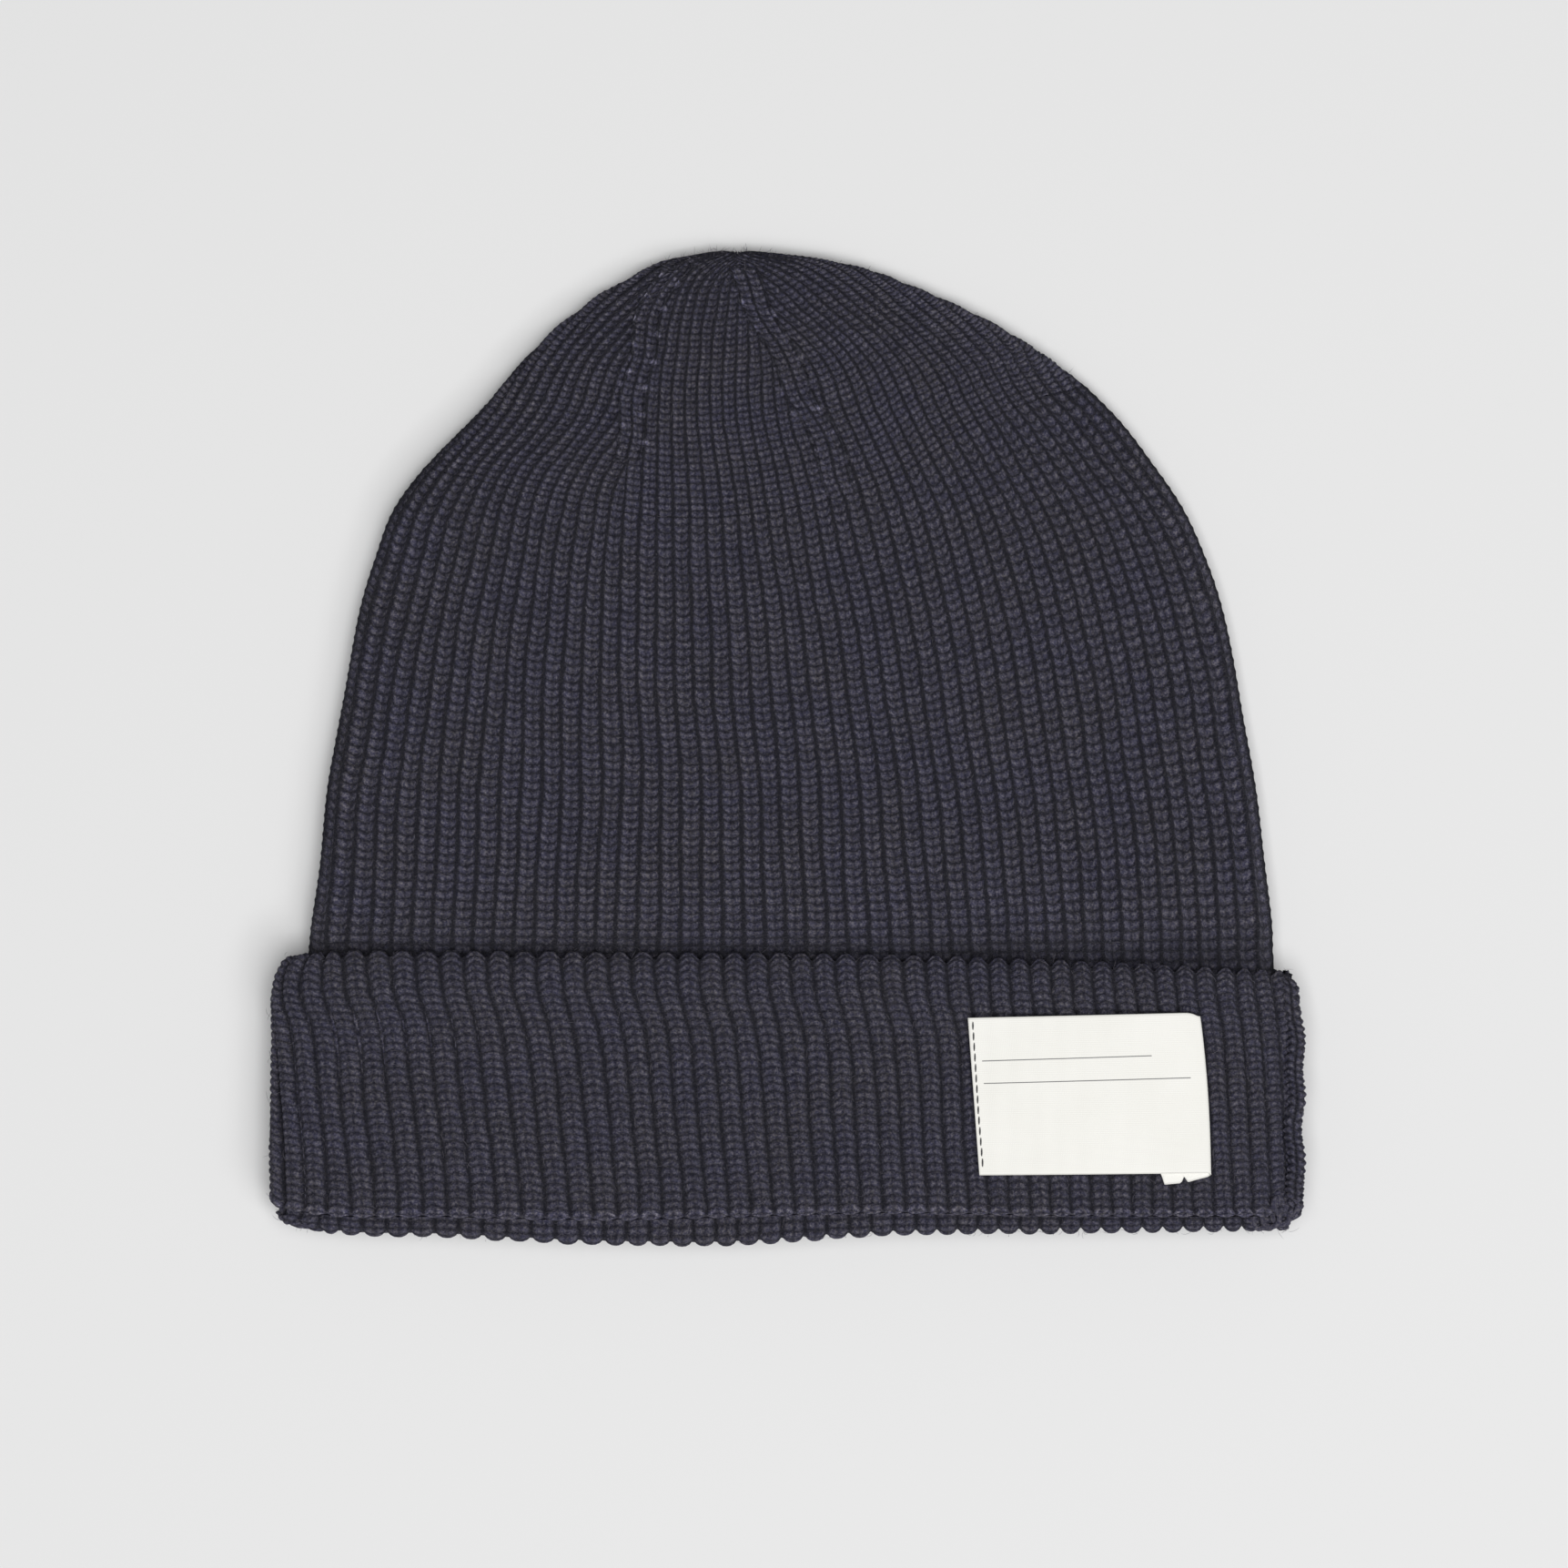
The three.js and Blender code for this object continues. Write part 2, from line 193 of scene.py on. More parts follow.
def pouch_points(ys, ribs, wall=0.0):
    """Points of the pouch at each height in ys and each rib line, moved in from its face by wall."""
    points = np.zeros((len(ys), len(ribs), 3))
    for row, y in enumerate(ys):
        shape = {name: smooth_value(SECTIONS, "y", y, name) for name in SECTIONS}
        inset = min(wall, (shape["high"] - shape["low"]) / 2 - 0.1)
        for name, sign in (("left", 1), ("right", -1), ("low", 1), ("high", -1)):
            shape[name] = shape[name] + sign * inset
        points[row, :, 0], points[row, :, 2] = section_points(shape, ribs)
        points[row, :, 1] = y
    return points


def runs_along(points):
    """Distance run along each column of points."""
    steps = np.linalg.norm(np.diff(points, axis=0), axis=2)
    return np.concatenate((np.zeros((1, points.shape[1])), np.cumsum(steps, axis=0)))


def spread_along(points, shares):
    """Points at the given shares of each column's length. shares has a row for each new row."""
    runs = runs_along(points)
    out = np.zeros((*shares.shape, 3))
    for column in range(points.shape[1]):
        at = shares[:, column] * runs[-1, column]
        for axis in range(3):
            out[:, column, axis] = np.interp(at, runs[:, column], points[:, column, axis])
    return out


def face_normals(points):
    """Outward directions of a ring-shaped grid, whose first and last columns are the same line."""
    around = np.roll(points[:, :-1], -1, axis=1) - np.roll(points[:, :-1], 1, axis=1)
    around = np.concatenate((around, around[:, :1]), axis=1)
    along = np.gradient(points, axis=0)
    normals = np.cross(along, around)
    return normals / np.maximum(np.linalg.norm(normals, axis=2, keepdims=True), 1e-9)


# The line where the courses get finer rises towards the sides.
FINE_LINE = {
    "across": np.array((-1.0, -0.79, -0.48, -0.29, -0.1, 0.06, 0.28, 0.45, 0.64, 0.84, 1.0)),
    "y": np.array((61.6, 58.4, 52.8, 50.6, 51.4, 54.0, 59.4, 66.4, 72.6, 77.2, 79.4)),
}
CUFF_TOP_Y = -47.0
BODY_COURSES = 54
ROWS_PER_COURSE = 3


def fine_line_height(ribs):
    """Height of the fine line at each rib line."""
    front = np.where(ribs > RIBS_FRONT, RIBS_AROUND - ribs, ribs)
    across = np.interp(front, [0, LEFT_GORE_RIBS, RIGHT_GORE_START, RIBS_FRONT], [-1, -0.41, 0.13, 1])
    return smooth_value(FINE_LINE, "across", across, "y")


def rib_profile(share, width=0.86):
    """Height over a rib from groove to groove, from 0 to 1: steep sides and a rounded crest.
    width is the share of the rib that stands up."""
    side = np.clip(np.abs(2 * share - 1) / width, 0, 1)
    return (1 - side ** 2.6) ** 0.9


def stitch_profile(share):
    """Height over one course of stitches, from 0 to 1."""
    return np.abs(np.sin(np.pi * (share % 1))) ** 0.9


RIB_SHARE = {
    "y": np.array((-100.0, 0.0, 48.0, 61.0, 73.0, 86.0, 96.0, 104.0, 109.1)),
    "depth": np.array((1.0, 1.0, 0.94, 0.9, 0.85, 0.8, 0.74, 0.62, 0.4)),
}
# Every stitch is a little higher or lower than the next, and lighter or darker.
CHANCES = 256
stitch_chance = np.random.RandomState(7)
STITCH_LIFT = stitch_chance.normal(0, 1, (CHANCES, CHANCES))
STITCH_TONE = stitch_chance.uniform(0, 1, (CHANCES, CHANCES))
rib_chance = np.random.RandomState(11)
RIB_WANDER = np.cumsum(rib_chance.normal(0, 0.8, (2, RIBS_AROUND + 1)), axis=1)


def wander(ribs, y):
    """How far a rib line strays sideways at a height, in mm, as hand-pulled knitting does."""
    slow, quick = (np.interp(ribs, np.arange(RIBS_AROUND + 1), row) for row in RIB_WANDER)
    return 0.26 * np.sin(y / 13 + slow) + 0.16 * np.sin(y / 5.2 + quick)


def knit_relief(rib, course, rib_depth, stitch_depth, rib_width=0.86):
    """Height of the knitted face: ribs, courses and the small unevenness of single stitches."""
    crest = rib_profile(rib % 1, rib_width)
    lift = STITCH_LIFT[np.floor(rib).astype(int) % CHANCES, np.floor(course).astype(int) % CHANCES]
    stitches = stitch_profile(course) * stitch_depth * (0.35 + 0.65 * crest)
    return rib_depth * (crest - 1) + stitches - stitch_depth + 0.045 * lift * crest


def corner_vertices(mesh):
    """The vertex that each face corner of a mesh stands on."""
    vertices = np.zeros(len(mesh.loops), dtype=np.int32)
    mesh.loops.foreach_get("vertex_index", vertices)
    return vertices


def smooth_faces(mesh):
    """Shades every face of a mesh smooth."""
    mesh.polygons.foreach_set("use_smooth", np.ones(len(mesh.polygons), dtype=bool))


def ring_piece(name, points, rib_uv, course_uv, tone):
    """A closed piece from a grid of points that runs round the cap and back on itself.
    rib_uv gives each face corner's rib, course_uv each point's course, for the knit's fine relief."""
    rows, columns = points.shape[:2]
    bm = bmesh.new()
    bmesh.ops.create_grid(bm, x_segments=columns - 1, y_segments=rows - 1, size=1)
    mesh = finished_mesh(bm, name)
    mesh.vertices.foreach_set("co", (points * MM).reshape(-1))
    corner_row, corner_column = np.divmod(corner_vertices(mesh), columns)
    face_column = np.repeat(np.arange(len(mesh.polygons)), 4) % (columns - 1)
    uv = np.zeros((len(mesh.loops), 2), dtype=np.float32)
    uv[:, 0] = rib_uv(corner_row, corner_column, face_column)
    uv[:, 1] = course_uv[corner_row, corner_column]
    mesh.uv_layers.new(name="knit").data.foreach_set("uv", uv.reshape(-1))
    layer = mesh.attributes.new("tone", "FLOAT", "POINT")
    layer.data.foreach_set("value", tone.astype(np.float32).reshape(-1))
    smooth_faces(mesh)
    bm = bmesh.new()
    bm.from_mesh(mesh)
    bmesh.ops.remove_doubles(bm, verts=bm.verts, dist=1e-7)
    bmesh.ops.dissolve_degenerate(bm, dist=1e-8, edges=bm.edges)
    bmesh.ops.recalc_face_normals(bm, faces=bm.faces)
    bm.to_mesh(mesh)
    bm.free()
    piece = add_object(name, mesh)
    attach(piece, "root")
    return piece


def add_node(tree, kind, **settings):
    """A shader node of a kind, with its own settings."""
    node = tree.nodes.new(kind)
    for name, value in settings.items():
        setattr(node, name, value)
    return node


def math_node(tree, operation, first, second=None, third=None):
    """A maths node fed by sockets or plain numbers."""
    node = add_node(tree, "ShaderNodeMath", operation=operation)
    for socket, value in zip(node.inputs, (first, second, third)):
        if value is None:
            continue
        if isinstance(value, (int, float)):
            socket.default_value = value
        else:
            tree.links.new(value, socket)
    return node.outputs[0]


def noise_node(tree, place, scale, detail, roughness=0.5):
    """Soft noise through the piece; its colour output holds three independent values."""
    node = add_node(tree, "ShaderNodeTexNoise")
    node.inputs["Scale"].default_value = scale
    node.inputs["Detail"].default_value = detail
    node.inputs["Roughness"].default_value = roughness
    tree.links.new(place, node.inputs["Vector"])
    return node


def blend_node(tree, factor, first, second, blend="MIX"):
    """A colour mixed from two colours or sockets."""
    node = add_node(tree, "ShaderNodeMix", data_type="RGBA", blend_type=blend)
    for name, value in (("Factor", factor), ("A", first), ("B", second)):
        socket = [x for x in node.inputs if x.name == name and x.enabled][0]
        if isinstance(value, (int, float)):
            socket.default_value = value
        elif isinstance(value, tuple):
            socket.default_value = (*value, 1)
        else:
            tree.links.new(value, socket)
    return [x for x in node.outputs if x.enabled][0]


def range_node(tree, value, low, high, curve="LINEAR"):
    """Where a value lies between low and high, from 0 to 1."""
    node = add_node(tree, "ShaderNodeMapRange", interpolation_type=curve)
    node.inputs["From Min"].default_value = low
    node.inputs["From Max"].default_value = high
    tree.links.new(value, node.inputs["Value"])
    return node.outputs["Result"]


def add_bump(tree, shader, height, distance, strength=1.0):
    """Fine relief on a finish. distance is what a height of 1 stands for, in metres."""
    bump = add_node(tree, "ShaderNodeBump")
    bump.inputs["Strength"].default_value = strength
    bump.inputs["Distance"].default_value = distance
    tree.links.new(height, bump.inputs["Height"])
    tree.links.new(bump.outputs["Normal"], shader.inputs["Normal"])


def wool_finish(name, relief, groove=(0.90, 0.56), pinch_depth=0.6, stitch_light=1.46, rib_light=0.0):
    """Dark navy wool. relief is the height of the stitches in the bump, in metres, and groove
    where across a rib its side begins and ends, from 1 in the groove to 0 on the crest.
    stitch_light and rib_light say how much lighter the stitches and the whole rib are painted
    than the grooves: painted highlight on the stitch legs, painted shade in the grooves."""
    finish, tree, shader = new_finish(name, 0.78, 0.1)
    uv = add_node(tree, "ShaderNodeUVMap", uv_map="knit")
    place = add_node(tree, "ShaderNodeTexCoord").outputs["Object"]
    split_uv = add_node(tree, "ShaderNodeSeparateXYZ")
    tree.links.new(uv.outputs["UV"], split_uv.inputs["Vector"])
    rib_at, course_at = split_uv.outputs["X"], split_uv.outputs["Y"]
    for scale, rib_shift, course_shift in ((330, 0.18, 0.5), (1500, 0.20, 0.55)):
        wobble = noise_node(tree, place, scale, 1)
        parts = add_node(tree, "ShaderNodeSeparateColor")
        tree.links.new(wobble.outputs["Color"], parts.inputs["Color"])
        sideways = math_node(tree, "MULTIPLY_ADD", parts.outputs[0], rib_shift, -rib_shift / 2)
        endways = math_node(tree, "MULTIPLY_ADD", parts.outputs[1], course_shift, -course_shift / 2)
        rib_at = math_node(tree, "ADD", rib_at, sideways)
        course_at = math_node(tree, "ADD", course_at, endways)
    rib = math_node(tree, "FRACT", rib_at)
    side = math_node(tree, "ABSOLUTE", math_node(tree, "MULTIPLY_ADD", rib, 2.0, -1.0))
    # Each stitch is two legs that meet in the middle of the rib; between ribs the wool lies deep.
    course_turn = math_node(tree, "MULTIPLY", math_node(tree, "FRACT", course_at), math.pi)
    bar = math_node(tree, "POWER", math_node(tree, "SINE", course_turn), 1.1)
    near_middle = math_node(tree, "POWER", math_node(tree, "MULTIPLY", side, 5.0), 2.0)
    pinch = math_node(tree, "EXPONENT", math_node(tree, "MULTIPLY", near_middle, -1.0))
    on_rib = range_node(tree, side, groove[0], groove[1], "SMOOTHSTEP")
    leg = math_node(tree, "MULTIPLY", bar, math_node(tree, "MULTIPLY_ADD", pinch, -pinch_depth, 1.0))
    leg = math_node(tree, "MULTIPLY", leg, on_rib)
    # Plies of the yarn run slantwise along the legs.
    ply_turn = math_node(tree, "MULTIPLY_ADD", course_at, 3.0 * 2 * math.pi,
                         math_node(tree, "MULTIPLY", side, 8.0))
    ply = math_node(tree, "MULTIPLY", math_node(tree, "SINE", ply_turn), 0.09)
    hair = noise_node(tree, place, 2200, 4, 0.75)
    height = math_node(tree, "ADD", leg, ply)
    height = math_node(tree, "ADD", height, math_node(tree, "MULTIPLY", hair.outputs["Fac"], 1.3))
    add_bump(tree, shader, height, relief)
    # Heathered colour: navy and brown-grey fibres spun together, in faint patches.
    mottle = noise_node(tree, place, 1600, 3, 0.85)
    heather = add_node(tree, "ShaderNodeValToRGB")
    stops = heather.color_ramp.elements
    stops[0].position = 0.38
    stops[0].color = (0.024, 0.024, 0.046, 1)
    stops[1].position = 0.64
    stops[1].color = (0.142, 0.134, 0.152, 1)
    stops.new(0.50).color = (0.060, 0.057, 0.087, 1)
    tree.links.new(mottle.outputs["Fac"], heather.inputs["Fac"])
    patch = range_node(tree, noise_node(tree, place, 75, 3).outputs["Fac"], 0.38, 0.62)
    cast = blend_node(tree, patch, (0.975, 0.98, 1.03), (1.025, 1.015, 0.96))
    wool = blend_node(tree, 1.0, heather.outputs["Color"], cast, "MULTIPLY")
    # The tone attribute holds each stitch's own lightness and the painted highlights and shade of each
    # piece.
    tone = add_node(tree, "ShaderNodeAttribute", attribute_name="tone")
    brightness = math_node(tree, "MULTIPLY_ADD", tone.outputs["Fac"], 0.22, 0.89)
    # Painted highlight on the stitch legs and painted shade in the grooves and between the legs, in the
    # colour.
    in_rib = math_node(tree, "MULTIPLY_ADD", on_rib, rib_light, 0.20)
    painted_shade_and_tone = math_node(tree, "MULTIPLY_ADD", leg, stitch_light, in_rib)
    painted_shade_and_tone = math_node(tree, "MULTIPLY", brightness, painted_shade_and_tone)
    tint = add_node(tree, "ShaderNodeVectorMath", operation="SCALE")
    tree.links.new(wool, tint.inputs[0])
    tree.links.new(painted_shade_and_tone, tint.inputs["Scale"])
    # Sparse pale fibres caught in the wool.
    fleck = range_node(tree, noise_node(tree, place, 2100, 2).outputs["Fac"], 0.69, 0.77)
    pale = math_node(tree, "MULTIPLY", fleck, 0.5)
    colour = blend_node(tree, pale, tint.outputs["Vector"], (0.20, 0.19, 0.22))
    tree.links.new(colour, shader.inputs["Base Color"])
    rough = noise_node(tree, place, 500, 2)
    roughness = math_node(tree, "MULTIPLY_ADD", rough.outputs["Fac"], 0.2, 0.78)
    tree.links.new(roughness, shader.inputs["Roughness"])
    shader.inputs["Sheen Weight"].default_value = 0.10
    shader.inputs["Sheen Tint"].default_value = (0.8, 0.8, 1.0, 1)
    shader.inputs["Sheen Roughness"].default_value = 0.5
    return finish


COLUMNS = RIBS_AROUND * COLUMNS_PER_RIB
rib_lines = np.linspace(0, RIBS_AROUND, COLUMNS + 1)
BODY_RIB_DEPTH = 1.55
BODY_STITCH_DEPTH = 0.55
BODY_CUP = 0.42
HEM_Y = -101.2
BODY_HOLLOW_Y = 84.0
INNER_ROWS = 7
INNER_SLICES = 60
FACE_SLICES = 420
INNER_RIB_DEPTH = 0.7
fine_height = fine_line_height(rib_lines)
dense_share = np.linspace(0, 1, 181)[:, None]
dense_y = CUFF_TOP_Y + (fine_height[None, :] - CUFF_TOP_Y) * dense_share
TIP_Y = SECTIONS["y"][-1]
slice_y = TIP_Y - (TIP_Y - CUFF_TOP_Y + 4) * np.linspace(1, 0, FACE_SLICES) ** 1.6
slices = pouch_points(slice_y, rib_lines)


def pouch_at(ys, slice_y, slices):
    """Points of a face of the pouch where each column has its own heights ys, between slices of
    the face at the heights slice_y."""
    out = np.zeros((*ys.shape, 3))
    for column in range(ys.shape[1]):
        for axis in (0, 2):
            out[:, column, axis] = np.interp(ys[:, column], slice_y, slices[:, column, axis])
    out[:, :, 1] = ys
    return out


def knit_tone(courses, rib_shift=0, course_shift=0):
    """How light each stitch is, from 0 to 1, where every column of courses has its rib line."""
    rib = np.floor(rib_lines).astype(int)[None, :] + rib_shift
    course = np.floor(courses).astype(int) + course_shift
    return STITCH_TONE[rib % CHANCES, course % CHANCES]


def add_relief(points, height):
    """Raises or sinks points along the face's own direction, and presses them on the board."""
    out = points + face_normals(points) * height[:, :, None]
    out[:, :, 2] = np.maximum(out[:, :, 2], 0.0)
    return out


body_rows = BODY_COURSES * ROWS_PER_COURSE + 1
body_course = np.linspace(0, BODY_COURSES, body_rows)[:, None] + np.zeros((1, COLUMNS + 1))
body_rib = rib_lines[None, :] + np.zeros((body_rows, 1))
body_cup = BODY_CUP * np.abs(2 * (body_rib % 1) - 1) ** 1.6
body_share = np.clip((body_course + body_cup) / BODY_COURSES, 0, 1.0)
body_face = spread_along(pouch_at(dense_y, slice_y, slices), body_share)
body_face[:, :, 0] += wander(body_rib, body_face[:, :, 1])
body_depth = BODY_RIB_DEPTH * smooth_value(RIB_SHARE, "y", body_face[:, :, 1], "depth")
body_face = add_relief(body_face, knit_relief(body_rib, body_course, body_depth, BODY_STITCH_DEPTH))
body_rim = body_face[-1:] + 0.06 * (body_face[-2:-1] - body_face[-1:])
body_face = np.concatenate((body_face[:-1], body_rim, body_face[-1:]))
body_course = np.concatenate((body_course[:-1], body_course[-1:] - 0.02, body_course[-1:]))
# The hidden part under the cuff, and the inner wall.
hidden_y = np.array([HEM_Y, -60.0])
hidden_face = add_relief(pouch_points(hidden_y, rib_lines),
                         BODY_RIB_DEPTH * (rib_profile(np.tile(rib_lines % 1, (2, 1))) - 1))
inner_y = HEM_Y + (fine_height[None, :] - HEM_Y) * np.linspace(1, 0, INNER_ROWS)[:, None]
inner_slice_y = np.linspace(HEM_Y, BODY_HOLLOW_Y, INNER_SLICES)
inner_face = pouch_at(inner_y, inner_slice_y, pouch_points(inner_slice_y, rib_lines, KNIT_WALL))
inner_face -= face_normals(inner_face) * (INNER_RIB_DEPTH * rib_profile(rib_lines % 1))[None, :, None]
body_points = np.concatenate((hidden_face, body_face, inner_face, hidden_face[:1]))
body_courses = np.concatenate((
    np.full((2, COLUMNS + 1), -20.0) + np.array([[0.0], [14.0]]),
    body_course,
    BODY_COURSES + np.cumsum(np.full((INNER_ROWS + 1, COLUMNS + 1), 12.0), axis=0),
))
body_tone = knit_tone(body_courses)
# Painted shade: the crown's colour is darkened along the fold, where it lies in the cuff's shade.
body_tone -= 2.0 * np.exp(-((body_points[:, :, 1] + 45.0) / 3.5) ** 2)
crown_body = ring_piece(
    "crown_body", body_points,
    lambda row, column, face_column: rib_lines[column], body_courses, body_tone)
body_wool = wool_finish("body_wool", 0.62 * MM)
crown_body.data.materials.append(body_wool)
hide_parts("crown")

# Crown, upper part: finer courses that draw in to the tip between two decrease lines.
# The same wool, linked on course by course. Ribs end one after another at the lines, where the
# moved stitches stand up a little with a painted highlight; the sunk edges between have painted shade.
TOP_COURSE = 1.52
TOP_STITCH_DEPTH = 0.42
LINE_HALF_WIDTH = 2.6
JOIN_GAP = 0.01
TOP_HOLLOW_Y = 98.0
MARK_COURSES = 4
MARK_SHARE = 0.25
# Strength of the painted highlight on the decrease marks.
PAINTED_MARK_HIGHLIGHT = 17.0
RUNNING_RIBS = {
    "y": np.array((50.0, 61.0, 73.0, 86.0, 96.0, 104.0, 109.2)),
    "left_gore": np.array((1.0, 0.95, 0.78, 0.66, 0.41, 0.20, 0.10)),
    "middle_gore": np.array((1.0, 1.0, 0.98, 0.86, 0.74, 0.57, 0.30)),
    "right_gore": np.array((1.0, 1.0, 1.0, 0.95, 0.76, 0.54, 0.27)),
}
# Each decrease line: its column in SECTIONS, the cosine of its lean, and the height it starts at.
DECREASE_LINES = (("seam_l", 0.97, 62.0), ("seam_r", 0.84, 46.0))
GORE_EASE = 9
# Ribs that have run over each side edge to the back by a height.
RIBS_OVER = {
    "y": np.array((60.0, 76.0, 84.0, 92.0, 98.0, 102.0, 105.0, 107.0, 109.2)),
    "left": np.array((0.0, 0.5, 1.1, 1.9, 2.7, 3.3, 3.8, 4.2, 4.6)),
    "right": np.array((0.0, 0.3, 1.2, 2.7, 4.1, 5.4, 6.6, 7.6, 8.4)),
}


def running_rib(ribs, points, gore_of):
    """The rib that runs at each point, where ribs end at the decrease lines and two narrow ribs
    follow each line. gore_of says between which rib lines a point counts. Then how much of a
    line's edge is at each point, and whether it lies between the two edges."""
    x, y = points[..., 0], points[..., 1]
    front = np.where(ribs > RIBS_FRONT, RIBS_AROUND - ribs, ribs)
    gore_of = np.where(gore_of > RIBS_FRONT, RIBS_AROUND - gore_of, gore_of)
    begun = np.clip((y - fine_line_height(ribs)) / GORE_EASE, 0, 1)
    share = {}
    for gore in ("left_gore", "middle_gore", "right_gore"):
        share[gore] = 1 + (smooth_value(RUNNING_RIBS, "y", y, gore) - 1) * begun
    left = front * share["left_gore"]
    middle = LEFT_GORE_RIBS + (front - LEFT_GORE_RIBS) * share["middle_gore"]
    right = RIBS_FRONT - (RIBS_FRONT - front) * share["right_gore"]
    rib = np.where(gore_of < LEFT_GORE_RIBS, left, np.where(gore_of < RIGHT_GORE_START, middle, right))
    rib = np.where(ribs > RIBS_FRONT, RIBS_AROUND - rib, rib)
    over_left, over_right = (smooth_value(RIBS_OVER, "y", y, side) * begun for side in ("left", "right"))
    rib = rib + np.where(gore_of < LEFT_GORE_RIBS, over_left, 0)
    rib = rib - np.where(gore_of >= RIGHT_GORE_START, over_right, 0)
    mark, band = np.zeros(rib.shape), np.zeros(rib.shape)
    for column, lean, start in DECREASE_LINES:
        off = (x - smooth_value(SECTIONS, "y", y, column)) * lean + 0.5 * np.sin(y / 2.9)
        fade = np.clip((y - start) / 3, 0, 1) * np.clip((107 - y) / 2, 0, 1)
        inside = (np.abs(off) < LINE_HALF_WIDTH) & (fade > 0.5)
        rib = np.where(inside, off / LINE_HALF_WIDTH, rib)
        mark = np.maximum(mark, fade * np.exp(-((np.abs(off) - LINE_HALF_WIDTH) / 0.5) ** 2))
        band = np.maximum(band, inside)
    return rib, mark, band


top_dense_y = fine_height[None, :] + JOIN_GAP
top_dense_y = TIP_Y - (TIP_Y - top_dense_y) * (np.linspace(1, 0, 241) ** 1.5)[:, None]
top_path = pouch_at(top_dense_y, slice_y, slices)
top_lengths = runs_along(top_path)[-1]
top_rows = int(np.ceil(top_lengths.max() / TOP_COURSE * ROWS_PER_COURSE)) + 1
top_course = np.arange(top_rows)[:, None] / ROWS_PER_COURSE + np.zeros((1, COLUMNS + 1))
top_base = spread_along(top_path, np.clip(top_course * TOP_COURSE / top_lengths[None, :], 0, 1))
top_ribs = np.tile(rib_lines, (top_rows, 1))
top_rib, top_mark, top_band = running_rib(top_ribs, top_base, top_ribs)
top_depth = BODY_RIB_DEPTH * smooth_value(RIB_SHARE, "y", top_base[:, :, 1], "depth")
top_height = knit_relief(top_rib, top_course + 0.5 * top_band, top_depth, TOP_STITCH_DEPTH)
top_height += 0.35 * top_band * np.sin(2.4 * top_course + 3 * top_rib)
mark_step = (top_course / MARK_COURSES + 0.37 * (top_ribs > LEFT_GORE_RIBS + 7) + 0.5 * (top_rib > 0)) % 1
top_edge = top_mark * (mark_step >= MARK_SHARE)
top_mark = top_mark * (mark_step < MARK_SHARE)
top_base[:, :, 0] += wander(top_ribs, top_base[:, :, 1]) * np.clip((TIP_Y - top_base[:, :, 1]) / 12, 0, 1)
top_face = add_relief(top_base, top_height + 0.6 * top_mark - 0.5 * top_edge)
top_rim = top_face[:1] + 0.06 * (top_face[1:2] - top_face[:1])
top_face = np.concatenate((top_face[:1], top_rim, top_face[1:]))
top_course = np.concatenate((top_course[:1], top_course[:1] + 0.02, top_course[1:]))
top_mark = np.concatenate((top_mark[:1], top_mark))
top_inner_share = np.linspace(0, 1, INNER_ROWS)[:, None]
top_inner_y = fine_height[None, :] + JOIN_GAP + (TOP_HOLLOW_Y - fine_height[None, :]) * top_inner_share
inner_slice_y = np.linspace(40, TOP_HOLLOW_Y + 0.2, INNER_SLICES)
top_inner = pouch_at(top_inner_y, inner_slice_y, pouch_points(inner_slice_y, rib_lines, KNIT_WALL))
inner_pole = np.tile(top_inner[-1].mean(axis=0), (1, COLUMNS + 1, 1))
outer_pole = np.tile(top_base[-1].mean(axis=0), (1, COLUMNS + 1, 1))
top_points = np.concatenate((inner_pole, top_inner[::-1], top_face, outer_pole))
top_courses = np.concatenate((
    np.linspace(-40, -4, INNER_ROWS + 1)[:, None] + np.zeros((1, COLUMNS + 1)),
    top_course, top_course[-1:] + 1 / ROWS_PER_COURSE,
))
top_tone = knit_tone(top_courses)
marked = slice(1 + INNER_ROWS, 2 + INNER_ROWS + top_rows)
# Painted highlight on the raised marks; the band a little lighter, and painted shade on the sunk edges.
top_tone[marked] += PAINTED_MARK_HIGHLIGHT * top_mark * top_tone[marked]
top_tone[marked][1:] += 0.4 * top_band - 2.6 * top_edge


def top_rib_uv(row, column, face_column):
    """The rib at each face corner, counted on the side of the decrease lines that its face is on."""
    at = top_points[row, column]
    beside = rib_lines[face_column] + 0.5 / COLUMNS_PER_RIB
    return running_rib(rib_lines[column], at, beside)[0]


crown_top = ring_piece("crown_top", top_points, top_rib_uv, top_courses, top_tone)
top_wool = wool_finish("top_wool", 0.55 * MM)
crown_top.data.materials.append(top_wool)
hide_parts("crown")

# Cuff: the outer layer, turned down from the fold at the top to the cast-on edge.
# The same wool and ribs, pushed to the right as they run down, with a kink below the fold. The
# stitches stand the other way up here, and the cast-on row makes a thin ridge with a painted highlight.
RIB_PITCH = 5.07
CUFF_COURSE = 1.75
CUFF_RIB_DEPTH = 1.7
CUFF_STITCH_DEPTH = 0.4
CUFF_RIB_WIDTH = 0.86
CUFF_CUP = -0.5
CUFF_RIGHT_ROUND = 0.3
CUFF_SIDES = (-114.0, 111.9)
CUFF_GORES = (-38.5, 30.5)
CUFF_BULGE = 3.6
CUFF_FACES = (-0.4, 24.0)
CUFF_LINES = {
    "x": np.array((-113.6, -111.5, -107.0, -73.0, -40.0, -14.0, 21.0, 60.0, 107.0)),
    "hem": np.array((-103.0, -104.5, -105.6, -107.7, -109.2, -109.4, -107.3, -106.7, -106.3)),
    "cast_on": np.array((-99.8, -101.1, -102.0, -103.1, -103.7, -103.1, -102.2, -102.8, -103.2)),
    "top": np.array((-47.8, -47.2, -46.3, -45.2, -45.4, -45.5, -46.0, -47.2, -49.6)),
    "join": np.full(9, -101.5),
}
DRIFT = {
    "y": np.array((-110.0, -101.0, -78.0, -64.0, -54.5, -48.0, -40.0)),
    "mm": np.array((6.2, 6.2, 4.4, 3.2, 0.8, 0.1, 0.0)),
}


